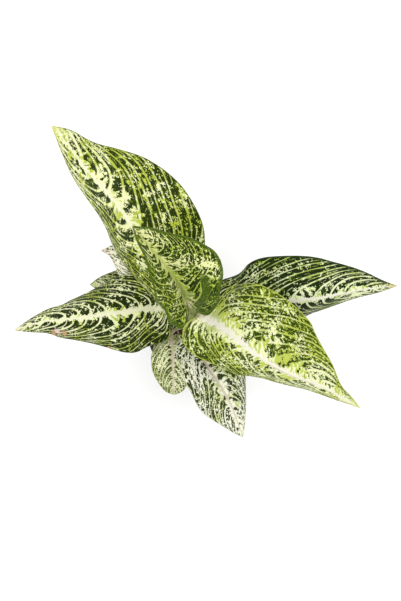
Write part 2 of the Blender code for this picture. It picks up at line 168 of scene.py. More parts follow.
class Graph:
    """The node tree of one material."""

    def __init__(self, name: str, roughness: float = 0.5, specular: float = 0.5) -> None:
        """Starts a material.

        Args:
            name: The material's name.
            roughness: The shader's roughness, where nothing is linked to it.
            specular: The shader's specular level.
        """
        self.material = bpy.data.materials.new(name)
        self.material.use_nodes = True
        self.tree = self.material.node_tree
        self.shader = self.tree.nodes["Principled BSDF"]
        self.shader.inputs["Roughness"].default_value = roughness
        self.shader.inputs["Specular IOR Level"].default_value = specular

    def feed(self, socket: bpy.types.NodeSocket, value: object) -> None:
        """Links a socket or sets its value.

        Args:
            socket: The input socket.
            value: A Value, an output socket, a number, a colour or a vector.
        """
        if isinstance(value, Value):
            value = value.socket
        if isinstance(value, bpy.types.NodeSocket):
            self.tree.links.new(value, socket)
        elif isinstance(value, tuple) and socket.type == "RGBA":
            socket.default_value = (*value[:3], 1.0)
        else:
            socket.default_value = value

    def node(
        self, kind: str, settings: dict[str, object] | None = None, sockets: dict | None = None
    ) -> bpy.types.Node:
        """Adds a node.

        Args:
            kind: The node's type.
            settings: Its properties, set first.
            sockets: Values or links of its input sockets, by name or number.

        Returns:
            The node.
        """
        made = self.tree.nodes.new(kind)
        for name, value in (settings or {}).items():
            setattr(made, name, value)
        for key, value in (sockets or {}).items():
            self.feed(made.inputs[key], value)
        return made

    def maths(self, operation: str, *terms: "Value | float") -> Value:
        """Adds a Math node on these terms and returns its result."""
        made = self.node("ShaderNodeMath", {"operation": operation}, dict(enumerate(terms)))
        return Value(self, made.outputs[0])

    def parts(self, vector: bpy.types.NodeSocket) -> tuple[Value, Value, Value]:
        """The three parts of a vector."""
        made = self.node("ShaderNodeSeparateXYZ", sockets={0: vector})
        return tuple(Value(self, socket) for socket in made.outputs)

    def attribute(self, name: str) -> tuple[Value, Value, Value]:
        """The three parts of a vector attribute of the mesh."""
        found = self.node("ShaderNodeAttribute", {"attribute_name": name})
        return self.parts(found.outputs["Vector"])

    def place(self) -> tuple[Value, Value, Value]:
        """The place on the object, in millimetres."""
        sockets = {0: self.node("ShaderNodeTexCoord").outputs["Object"], "Scale": 1 / MM}
        return self.parts(self.node("ShaderNodeVectorMath", {"operation": "SCALE"}, sockets).outputs[0])

    def noise(
        self, x: "Value | float", y: "Value | float", z: "Value | float", detail: float = 2.0
    ) -> Value:
        """Smooth noise.

        Args:
            x: First coordinate, in lumps.
            y: Second coordinate.
            z: Third coordinate.
            detail: Number of finer octaves.

        Returns:
            The noise, about 0.5.
        """
        spot = self.node("ShaderNodeCombineXYZ", sockets={0: x, 1: y, 2: z})
        made = self.node(
            "ShaderNodeTexNoise", sockets={"Vector": spot.outputs[0], "Scale": 1.0, "Detail": detail}
        )
        return Value(self, made.outputs[0])

    def lumps(self, across: float, up: float, detail: float = 2.0) -> Value:
        """Noise on the object's own place, about 0.5, by its lumps a millimetre across and up."""
        x, y, z = self.place()
        return self.noise(x * across, y * across, z * up, detail)

    def mix(self, share: Value, first: object, second: object) -> bpy.types.NodeSocket:
        """The second colour over the first by a share."""
        made = self.node("ShaderNodeMix", {"data_type": "RGBA"}, {0: share, 6: first, 7: second})
        return made.outputs[2]

    def bump(self, height: Value, depth: float) -> None:
        """Gives the shader a relief.

        Args:
            height: The relief's shape, 0 to 1.
            depth: Its depth in millimetres.
        """
        made = self.node("ShaderNodeBump", sockets={"Height": height, "Distance": depth * MM})
        self.feed(self.shader.inputs["Normal"], made.outputs[0])

    def colour(self, value: object) -> None:
        """Gives the shader its base colour."""
        self.feed(self.shader.inputs["Base Color"], value)

    def roughness(self, value: Value) -> None:
        """Gives the shader a roughness that changes over the surface."""
        self.feed(self.shader.inputs["Roughness"], value)


def ease(t: np.ndarray | float) -> np.ndarray:
    """A smooth step from 0 to 1."""
    t = np.clip(t, 0.0, 1.0)
    return t * t * (3.0 - 2.0 * t)


def unit(vectors: np.ndarray) -> np.ndarray:
    """Vectors scaled to length one, along the last axis."""
    vectors = np.asarray(vectors, float)
    return vectors / np.maximum(np.linalg.norm(vectors, axis=-1, keepdims=True), 1e-12)


def measured(line: np.ndarray) -> np.ndarray:
    """How far along a line each of its points is."""
    return np.concatenate([[0], np.cumsum(np.linalg.norm(np.diff(line, axis=0), axis=1))])


def read_off(places: np.ndarray, known: np.ndarray, values: np.ndarray) -> np.ndarray:
    """Rows of values at these places, read off between those at the known places."""
    return np.stack([np.interp(places, known, column) for column in values.T], axis=-1)


def bezier(points: Iterable, t: np.ndarray) -> np.ndarray:
    """Points of a Bezier curve.

    Args:
        points: Its two to four control points.
        t: Shares of the way along it.

    Returns:
        The points, one a row.
    """
    level = [np.asarray(p, float) + np.zeros((len(t), 1)) for p in points]
    while len(level) > 1:
        level = [a + (b - a) * t[:, None] for a, b in zip(level, level[1:])]
    return level[0]


def through(points: Iterable, count: int) -> np.ndarray:
    """A smooth curve through points.

    Args:
        points: The points, each of any number of parts.
        count: How many points the curve gets, at even spacing along it.

    Returns:
        The curve, one point a row.
    """
    p = np.asarray(points, float)
    p = np.vstack([2 * p[0] - p[1], p, 2 * p[-1] - p[-2]])
    dense = []
    for before, start, end, after in zip(p, p[1:], p[2:], p[3:]):
        handle_out, handle_in = start + (end - before) / 6, end - (after - start) / 6
        dense.append(bezier((start, handle_out, handle_in, end), np.linspace(0, 1, 24)))
    dense = np.vstack(dense)
    run = measured(dense)
    return read_off(np.linspace(0, run[-1], count), run, dense)


class Bench:
    """Modelling steps on one object at a time, with nothing else selected."""

    @staticmethod
    def add(primitive: Callable, name: str, **sizes: object) -> bpy.types.Object:
        """Adds a primitive.

        Args:
            primitive: One of Blender's operators that add a mesh.
            name: The object's name.
            sizes: The operator's own settings.

        Returns:
            The object, selected and active.
        """
        bpy.ops.object.select_all(action="DESELECT")
        primitive(**sizes)
        made = bpy.context.active_object
        made.name = made.data.name = name
        return made

    @staticmethod
    def pick(*objects: bpy.types.Object) -> None:
        """Selects objects alone.

        Args:
            objects: The objects, the first of which becomes active.
        """
        bpy.ops.object.select_all(action="DESELECT")
        for obj in objects:
            obj.select_set(True)
        bpy.context.view_layer.objects.active = objects[0]

    @staticmethod
    def edit(obj: bpy.types.Object, *steps: Callable[[], object]) -> None:
        """Runs edit mode steps on the whole of a mesh.

        Args:
            obj: The mesh's object.
            steps: Functions that each run one operator.
        """
        Bench.pick(obj)
        bpy.ops.object.mode_set(mode="EDIT")
        bpy.ops.mesh.select_all(action="SELECT")
        for step in steps:
            step()
        bpy.ops.object.mode_set(mode="OBJECT")

    @staticmethod
    def apply(obj: bpy.types.Object, kind: str, **settings: object) -> None:
        """Adds a modifier and applies it.

        Args:
            obj: The object.
            kind: The modifier's type.
            settings: The modifier's properties.
        """
        Bench.pick(obj)
        modifier = obj.modifiers.new(kind.title(), kind)
        for name, value in settings.items():
            setattr(modifier, name, value)
        bpy.ops.object.modifier_apply(modifier=modifier.name)

    @staticmethod
    def vertices(obj: bpy.types.Object) -> np.ndarray:
        """The places of a mesh's vertices.

        Args:
            obj: The mesh's object.

        Returns:
            The places in metres, one a row.
        """
        places = np.empty(len(obj.data.vertices) * 3)
        obj.data.vertices.foreach_get("co", places)
        return places.reshape(-1, 3)

    @staticmethod
    def attribute(obj: bpy.types.Object, name: str, values: np.ndarray) -> None:
        """Gives a mesh's vertices a vector attribute, one row of values for each."""
        layer = obj.data.attributes.new(name, "FLOAT_VECTOR", "POINT")
        layer.data.foreach_set("vector", values.astype(np.float32).ravel())

    @staticmethod
    def sheet(name: str, points: np.ndarray) -> tuple[bpy.types.Object, np.ndarray]:
        """A grid primitive whose corners are moved to these places.

        Args:
            name: The object's name.
            points: The places in millimetres, as rows by columns by three parts.

        Returns:
            The object, and for each of its vertices the number of its place in row order.
        """
        rows, columns = points.shape[:2]
        made = Bench.add(
            bpy.ops.mesh.primitive_grid_add,
            name,
            x_subdivisions=columns - 1,
            y_subdivisions=rows - 1,
            size=2.0,
        )
        own = Bench.vertices(made)
        column = np.rint((own[:, 0] + 1) / 2 * (columns - 1)).astype(int)
        row = np.rint((own[:, 1] + 1) / 2 * (rows - 1)).astype(int)
        order = row * columns + column
        placed = points.reshape(-1, 3)[order] * MM
        made.data.vertices.foreach_set("co", placed.ravel())
        made.data.update()
        return made, order

    @staticmethod
    def tube(name: str, rings: np.ndarray) -> bpy.types.Object:
        """A closed tube through rings of points that run round against the clock about its way.

        Args:
            name: The object's name.
            rings: The points in millimetres, as rings by points by three parts.

        Returns:
            The object.
        """
        closed = np.concatenate([rings, rings[:, :1]], axis=1)
        middles = rings.mean(axis=1, keepdims=True) + np.zeros_like(closed)
        made, _ = Bench.sheet(name, np.concatenate([middles[:1], closed, middles[-1:]]))
        Bench.edit(
            made,
            lambda: bpy.ops.mesh.remove_doubles(threshold=0.002 * MM),
            lambda: bpy.ops.mesh.normals_make_consistent(inside=False),
        )
        return made

    @staticmethod
    def lathe(name: str, profile: Iterable[tuple[float, float]], steps: int) -> bpy.types.Object:
        """A solid of revolution about Z.

        Args:
            name: The object's name.
            profile: Radii and heights in millimetres, from the axis round and back to the axis.
            steps: Number of sides.

        Returns:
            The object.
        """
        profile = list(profile)
        made = Bench.add(bpy.ops.mesh.primitive_circle_add, name, vertices=len(profile), radius=0.01)
        ends = {0, len(profile) - 1}
        for vertex, (radius, height) in zip(made.data.vertices, profile):
            vertex.co = (radius * MM, 0.0, height * MM)
            vertex.select = vertex.index in ends
        for edge in made.data.edges:
            edge.select = set(edge.vertices) == ends
        Bench.pick(made)
        bpy.ops.object.mode_set(mode="EDIT")
        bpy.ops.mesh.delete(type="EDGE")
        bpy.ops.mesh.select_all(action="SELECT")
        bpy.ops.mesh.spin(steps=steps, angle=2 * math.pi, center=(0, 0, 0), axis=(0, 0, 1))
        bpy.ops.mesh.select_all(action="SELECT")
        bpy.ops.mesh.remove_doubles(threshold=0.01 * MM)
        bpy.ops.mesh.normals_make_consistent(inside=False)
        bpy.ops.object.mode_set(mode="OBJECT")
        return made

    @staticmethod
    def finish(
        obj: bpy.types.Object, materials: Iterable[bpy.types.Material], sharp: float, *nodes: str
    ) -> bpy.types.Object:
        """Shades a piece and ties it to the frame.

        Args:
            obj: The piece.
            materials: Its materials, or none where it has them.
            sharp: The angle in degrees past which an edge stays sharp.
            nodes: The solids that it stands for, which it hides.

        Returns:
            The piece.
        """
        for made in materials:
            obj.data.materials.append(made)
        Bench.pick(obj)
        bpy.ops.object.shade_smooth_by_angle(angle=math.radians(sharp))
        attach(obj, "root")
        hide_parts(*nodes)
        return obj


class Lamina:
    """What the materials of a blade read of its mesh, and the noises that its marks follow."""

    def __init__(self, graph: Graph, seed: float, fleck: float) -> None:
        """Reads the attributes and lays out the noises, each about 0.

        Args:
            graph: The material that reads them.
            seed: What sets this blade's noises apart from those of the others.
            fleck: The size of its flecks in millimetres.
        """
        self.graph = graph
        self.rank, share, self.run = graph.attribute("veins")
        self.along, self.across, self.spacing = graph.attribute("lamina")
        self.side = share.over(0.0) * 7.3 + seed
        self.out = abs(share)
        self.off = abs(self.across)
        self.roomy = self.spacing.rise(2.0, 5.0)  # between the side veins
        self.near = 1.0 - self.off.rise(3.0, 30.0)  # to the midrib

        self.lane = self.drawn(0.8, 26.0, 0.0)
        self.block = self.drawn(1.6, 8.0, 3.1, 1.0)
        self.streak = self.drawn(2.2, 15.0, 16.3)
        self.fleck = self.flecks(fleck, 5.7)
        self.speck = self.flecks(fleck * 0.8, 21.9)
        self.fine = self.even(fleck * 0.5, 9.9)
        self.patch = self.even(16.0, 12.9)

    def drawn(self, lumps: float, length: float, shift: float, detail: float = 0.0) -> Value:
        """Noise drawn out along the side veins.

        Args:
            lumps: How many lumps there are from one vein to the next.
            length: The length of a lump in millimetres.
            shift: What sets it apart from the blade's other noises.
            detail: Number of finer octaves.

        Returns:
            The noise, about 0.
        """
        spots = self.graph.noise(self.rank * lumps, self.run / length, self.side + shift, detail)
        return spots - 0.5

    def even(self, size: float, shift: float, detail: float = 0.0) -> Value:
        """Noise with lumps of one size all over the blade, about 0."""
        spots = self.graph.noise(self.along / size, self.across / size, self.side + shift, detail)
        return spots - 0.5

    def flecks(self, size: float, shift: float) -> Value:
        """Small lumps that follow the side veins where these stand wide apart, about 0."""
        plain = self.even(size, shift)
        return plain + (self.drawn(6.0 / size, size * 1.9, shift + 1.7) - plain) * self.roomy

    def lines(self, width: Value, shift: float) -> Value:
        """The side veins, or the strands between them.

        Args:
            width: Half the width of a line in millimetres.
            shift: How far the lines are moved, as a share of the way from one to the next.

        Returns:
            1 on a line, and 0 off it.
        """
        away = (self.rank + shift).off_whole() * self.spacing
        return 1.0 - away.rise(width * 0.55, width * 1.3)

    def edge(self) -> Value:
        """How far the margin is, in millimetres."""
        return self.off * (1.0 - self.out) / self.out.at_least(0.05)

    def spot(self, mark: "Blemish") -> Value:
        """Where a blemish is.

        Args:
            mark: The blemish.

        Returns:
            1 on it, and 0 off it.
        """
        along, across = self.along - mark.along, self.across - mark.across
        away = self.graph.maths("SQRT", along * along + across * across)
        ragged = away + self.fleck * mark.radius * 2.0
        return 1.0 - ragged.rise(mark.radius * 0.5, mark.radius * 1.1)


@dataclass(frozen=True)
class Blemish:
    """A marked spot of a blade."""

    along: float  # from the joint, along the midrib
    across: float  # from the midrib, the leaf's right positive
    radius: float
    colour: Colour = shown(202, 158, 110)


@dataclass(frozen=True)
class Variegation:
    """The colours and the pattern of one blade. Lengths are in millimetres."""

    dark: Colour
    green: Colour
    pale: Colour
    cream: Colour
    rib: Colour
    rim: Colour  # of the margin
    veins: int  # side veins in each half
    cover: float  # how green the blade is beside the midrib, 0 to 1
    edge_cover: float  # the same by the margin
    deep: float  # how much of the green is dark, 0 to 1
    band: tuple[float, float]  # half width of the light band at the joint and tip
    rib_width: float
    seed: float
    yellow: float = 0.5  # how much of the light parts is pale green, 0 to 1
    contrast: float = 1.0
    fleck: float = 2.1
    vein_width: float = 0.9
    margin: float = 0.8
    heart: Colour | None = None  # of the smooth patch at the joint
    fold: tuple[tuple[float, float], ...] = ()  # places along and across of a base lobe's crease line
    tip: Colour | None = None
    blemishes: tuple[Blemish, ...] = ()

    def face(self, name: str, length: float, under: bool = False) -> bpy.types.Material:
        """Makes the material of one face of the blade.

        Args:
            name: The material's name.
            length: The blade's length.
            under: Whether it is the lower face, which is paler and duller.

        Returns:
            The material.
        """
        graph = Graph(name, specular=0.08)
        lamina = Lamina(graph, self.seed, self.fleck)
        reach = lamina.along / length
        veins, strands = self.veined(lamina)
        tone = self.tone(lamina, reach, under)
        grown = tone.rise(0.45, 0.55) * (1.0 - veins) * (1.0 - strands)

        depth = self.deep + lamina.block * 1.4 + lamina.speck * 2.0 + lamina.fine * 1.6
        depth = depth + (tone - 0.5) * 0.35
        shade = graph.mix(depth.rise(0.4, 0.6), seen(self.green, under), seen(self.dark, under))
        wan = self.yellow + lamina.speck * 1.8 + lamina.patch * 1.6 + (0.5 - lamina.near) * 0.4
        glow = graph.mix(wan.rise(0.3, 0.7), seen(self.cream, under), seen(self.pale, under))
        colour = graph.mix(grown, glow, shade)

        graph.colour(self.bordered(lamina, reach, under, colour))
        graph.roughness((0.6 if under else 0.5) - lamina.fleck * 0.12)
        relief = veins * (0.8 if under else -0.5) + lamina.fine * 0.25 + lamina.fleck * 0.3
        graph.bump(relief, 0.35)
        return graph.material

    def veined(self, lamina: Lamina) -> tuple[Value, Value]:
        """Draws the side veins and the strands between them.

        Args:
            lamina: What the material reads of the mesh.

        Returns:
            How strongly each shows, 0 to 1.
        """
        width = 0.62 + lamina.near * 0.5 + lamina.streak * 1.2
        width = width * lamina.spacing.rise(0.6, 4.5) * self.vein_width
        veins = lamina.lines(width, 0.0) * (0.85 + lamina.near * 0.15)
        broken = (lamina.streak + lamina.block).rise(0.02, 0.16)
        return veins, lamina.lines(width * 0.45, 0.5) * broken * 0.7

    def tone(self, lamina: Lamina, reach: Value, under: bool) -> Value:
        """How green the blade is between its veins.

        Args:
            lamina: What the material reads of the mesh.
            reach: The share of the way from the joint to the tip.
            under: Whether it is the lower face.

        Returns:
            The tone, light below about 0.5 and green above it.
        """
        band = (self.band[0] + (self.band[1] - self.band[0]) * reach) * (1.0 + lamina.patch * 3.0)
        ragged = lamina.off + (lamina.streak + lamina.block * 0.6) * band * 3.4
        light = 1.0 - ragged.rise(band * 0.5, band * 1.3)
        cover = self.cover + (self.edge_cover - self.cover) * lamina.out
        # from the broadest noise to the finest, which is stronger by the margin
        marks = lamina.lane * 0.8 + lamina.block * 1.6 + lamina.patch * (1.2 - lamina.out * 0.7)
        marks = marks + lamina.fleck * (1.9 + lamina.out * 1.2)
        marks = marks + lamina.fine * (1.4 + lamina.out * 1.4)
        return cover + marks * (self.contrast * (0.6 if under else 1.0)) - light

    def bordered(
        self, lamina: Lamina, reach: Value, under: bool, colour: bpy.types.NodeSocket
    ) -> bpy.types.NodeSocket:
        """Lays the margin, the smooth patch, the midrib, the tip and the blemishes over the pattern.

        Args:
            lamina: What the material reads of the mesh.
            reach: The share of the way from the joint to the tip.
            under: Whether it is the lower face.
            colour: The pattern's colour.

        Returns:
            The colour of the whole face.
        """
        graph = lamina.graph
        margin = lamina.edge() + lamina.fleck * self.margin * 1.4
        rim = 1.0 - margin.rise(self.margin * 0.5, self.margin * 1.2)
        colour = graph.mix(rim * 0.9, colour, seen(self.rim, under))
        if self.heart:
            away = abs(lamina.along - 9.0) * 0.7 + lamina.off + lamina.streak * 12.0
            colour = graph.mix(1.0 - away.rise(6.0, 13.0), colour, seen(self.heart, under))
        # the base lobe's smooth green, partly painted shade, and its pale crease
        if self.fold:
            colour = self.lobe_shade_and_crease(lamina, colour)
        rib = self.rib_width * (1.0 - reach * 0.8)
        middle = lamina.off + (lamina.fine + lamina.speck * 1.4) * rib
        middle = 1.0 - middle.rise(rib * 0.5, rib * 1.2)
        colour = graph.mix(middle, colour, seen(self.rib, under, 0.27))
        if self.tip:
            end = (reach + lamina.fleck * 0.16).rise(0.92, 0.99)
            colour = graph.mix(end * 0.85, colour, self.tip)
        for mark in self.blemishes:
            colour = graph.mix(lamina.spot(mark), colour, mark.colour)
        return colour

    def lobe_shade_and_crease(self, lamina: Lamina, colour: bpy.types.NodeSocket) -> bpy.types.NodeSocket:
        """Lays the base lobe's smooth darker green, partly painted shade of its steep part, and its pale
        crease over the pattern.

        Args:
            lamina: What the material reads of the mesh.
            colour: The pattern's colour.

        Returns:
            The colour with the lobe over it.
        """
        graph = lamina.graph
        away, behind, _ = graph.attribute("fold")
        wavy = away + lamina.even(5.0, 31.3) * 0.8
        clouds = lamina.even(7.0, 33.9, 2.0)
        # painted shade: behind the crease the lobe is drawn in a smooth green darker than the blade's
        # pattern, for the shade on its steep part
        lobe = behind.rise(-0.4, 0.6) * (1.0 - away.rise(5.0, 11.5))
        smooth = graph.mix(clouds.rise(-0.1, 0.16), self.rim, between(self.dark, self.rim, 0.4))
        colour = graph.mix(lobe * 0.85, colour, smooth)
        return graph.mix((1.0 - wavy.rise(0.35, 0.95)) * 0.9, colour, self.pale)


@dataclass(frozen=True)
class StalkSkin:
    """The finish of a stalk: pale green that turns to a pinkish cream along it, with near-white flecks
    that are painted sheen.
    """

    foot: Colour = shown(196, 204, 138)
    joint: Colour = shown(226, 208, 186)
    streaks: Colour = shown(146, 164, 86)
    # painted sheen: near-white flecks that stand for light on the stalk's gloss
    pores_and_sheen: Colour = shown(238, 232, 208)

    def material(self, name: str) -> bpy.types.Material:
        """Makes the material, whose attribute gives the share along, the turn and the width.

        Args:
            name: The material's name.

        Returns:
            The material.
        """
        graph = Graph(name, 0.45, 0.3)
        share, turn, _ = graph.attribute("stalk")
        lines = graph.noise(share * 5.0, turn * 3.2, 0.4)
        fine = graph.noise(share * 18.0, turn * 9.0, 2.4)
        base = graph.mix(share.rise(0.35, 1.0), self.foot, self.joint)
        colour = graph.mix(lines.rise(0.48, 0.66) * 0.55, base, self.streaks)
        # painted sheen: fine near-white flecks over the stalk's colour
        colour = graph.mix(fine.rise(0.56, 0.75) * 0.5, colour, self.pores_and_sheen)
        graph.colour(colour)
        graph.bump(lines * 0.6 + fine * 0.4, 0.25)
        return graph.material


@dataclass(frozen=True)
class Cane:
    """The short cane that carries the leaves, ringed by the scar of each."""

    foot: Point = (-2.0, 3.0, 40.0)
    bend: Point = (-4.0, 6.0, 102.0)
    crown: Point = (-9.0, 13.0, 148.0)
    foot_radius: float = 5.6
    crown_radius: float = 4.2
    scar_swell: float = 0.5
    scar_length: float = 1.5
    scar_groove: float = 0.22
    flute: float = 0.12
    rounding: tuple[float, ...] = (0.25, 0.7, 1.6)  # how much narrower its last rings are
    rings: int = 190
    sides: int = 40
    low: Colour = shown(126, 132, 78)
    high: Colour = shown(170, 182, 106)
    streaks: Colour = shown(206, 210, 150)
    # the cane's own dark pores; only the stalk's near-white flecks are painted sheen
    pores_and_sheen: Colour = shown(112, 98, 62)
    cork: Colour = shown(120, 92, 58)

    def centre(self, height: float) -> tuple[np.ndarray, np.ndarray]:
        """The axis at a height.

        Args:
            height: The height above the floor.

        Returns:
            The point there and the way the axis runs.
        """
        axis = bezier((self.foot, self.bend, self.crown), np.linspace(0, 1, 201))

        def at(level: float) -> np.ndarray:
            """The axis where it crosses a level."""
            return np.array([np.interp(level, axis[:, 2], axis[:, k]) for k in range(2)] + [level])

        return at(height), unit(at(height) - at(height - 9.0))

    def build(self, scars: Iterable[float]) -> bpy.types.Object:
        """Builds and dresses the cane.

        Args:
            scars: The height of each leaf's foot.

        Returns:
            The piece.
        """
        scars = tuple(scars)
        t = np.linspace(0, 1, self.rings)
        axis = bezier((self.foot, self.bend, self.crown), t)
        tangents = unit(np.gradient(axis, axis=0))
        across = unit(np.cross(tangents, (0.0, 1.0, 0.0)))
        forward = np.cross(tangents, across)
        turn = np.linspace(0, 2 * math.pi, self.sides, endpoint=False)
        radii = self.foot_radius + (self.crown_radius - self.foot_radius) * t
        for scar in scars:
            away = axis[:, 2] - scar + 2.0
            radii += self.scar_swell * np.exp(-((away / self.scar_length) ** 2))
            radii -= self.scar_groove * np.exp(-(((away + 1.1) / 0.5) ** 2))
        radii[-len(self.rounding) :] -= self.rounding
        flutes = self.flute * np.sin(turn * 5 + 0.4)[None, :] * np.sin(axis[:, 2:] / 9.0)
        swept = (radii[:, None] + flutes)[..., None]
        circle = np.cos(turn)[:, None] * across[:, None] + np.sin(turn)[:, None] * forward[:, None]
        made = Bench.tube("cane_living", axis[:, None] + swept * circle)
        return Bench.finish(made, [self.skin(scars)], 60, "cane")

    def skin(self, scars: tuple[float, ...]) -> bpy.types.Material:
        """Makes the cane's material: green with pale streaks and a corky line at each scar.

        Args:
            scars: The height of each leaf's foot.

        Returns:
            The material.
        """
        graph = Graph("Cane skin", 0.5, 0.3)
        z = graph.place()[2]
        grain = graph.lumps(0.9, 0.12)
        pores_and_sheen = graph.lumps(1.6, 1.4)
        colour = graph.mix(z.rise(80, 140), self.low, self.high)
        colour = graph.mix(grain.rise(0.5, 0.7) * 0.7, colour, self.streaks)
        colour = graph.mix(pores_and_sheen.rise(0.6, 0.72) * 0.7, colour, self.pores_and_sheen)
        line = None
        for scar in scars:
            away = abs(z + (pores_and_sheen - 0.5) * 1.6 - (scar - 3.0))
            mark = 1.0 - away.rise(0.2, 0.75)
            line = mark if line is None else graph.maths("MAXIMUM", line, mark)
        graph.colour(graph.mix(line * 0.85, colour, self.cork))
        graph.bump(grain * 0.4 + pores_and_sheen * 0.6 - line * 0.5, 0.3)
        return graph.material


@dataclass(frozen=True)
class Leaf:
    """One leaf: its stalk, the midrib under the blade, and the blade.

    Left and right are those of someone on the cane who looks out along the leaf.
    """

    node: str
    foot_height: float
    midrib: tuple[Point, ...]  # from the joint with the stalk to the tip
    width: float  # of each half at its widest
    finish: Variegation
    left: tuple[float, ...] = (0, 0, 0, 0)  # how far the left half slopes up from the midrib
    right: tuple[float, ...] = (0, 0, 0, 0)
    arch: float = 35.0  # how far each half bends down from the midrib to its widest edge
    taper: float = 1.0  # above 1, it narrows to the tip faster than the body's points
    left_fill: tuple[float, ...] = ()  # how wide the left half is beside the common outline
    right_fill: tuple[float, ...] = ()
    lobes: tuple[float, float] = (8, 8)  # how far the left and the right base lobe reach back
    flare: float = 15.0  # how far the base lobes have bent up off the stalk at their ends
    stalk: float = 2.6  # half width of the stalk
    foot: float = 5.0  # from the cane's axis to the stalk's foot, 0 on the cane's top
    wave: float = 1.5  # height of the edge's waves
    waves: float = 2.5
    pucker: float = 0.3  # height of the blade between two side veins


@dataclass(frozen=True)
class BladeShape:
    """What all blades share.

    One side of a blade laid flat runs from the base lobe out to the tip. The body's points are
    shares of the blade's length and half width, the lobe's of its reach back and of the half width.
    """

    lobe: tuple = ((0.70, 0.13), (1.00, 0.38), (0.55, 0.68))
    body: tuple = tuple(
        zip((0.11, 0.24, 0.38, 0.52, 0.66, 0.79, 0.90), (0.86, 0.99, 0.98, 0.85, 0.61, 0.35, 0.15))
    )
    widest: float = 0.3
    stations: tuple = (0.0, 0.3, 0.6, 1.0)
    fill_stations: tuple = (0.0, 0.2, 0.4, 0.6, 0.78, 0.92)
    row_lag: float = 1.25  # rows leave the midrib this much nearer the joint than they reach the edge
    vein_crowd: float = 0.75  # side veins stand closer by the joint below 1
    vein_sweep: float = 2.4  # how much further along they reach the margin
    vein_turn: float = 2.4  # they leave the midrib at a wider angle above 1
    vein_fan: float = 3.0  # how many run round the base lobe from the joint
    vein_offset: float = 0.4  # of the right half's, as a share of the way to the next
    vein_wander: float = 0.16
    swell: float = 0.5  # height of the blade's broad unevenness
    dent: float = 0.35  # depth of the upper face over the midrib
    dent_width: float = 1.6
    thickness: float = 0.6
    grain: float = 1.4  # the mesh's spacing
    rib_end: float = 0.82
    rib_cover: float = -0.7
    rib_taper: float = 0.8
    sheath: float = 1.6  # how wide it is beside the stalk
    sheath_end: float = 0.75  # as a share of the stalk
    stalk_depth: float = 0.8  # beside its width
    lean: float = 0.6  # how far a stalk leaves the cane's direction at its foot
    stalk_rings: int = 70
    rib_rings: int = 60
    stalk_sides: int = 20


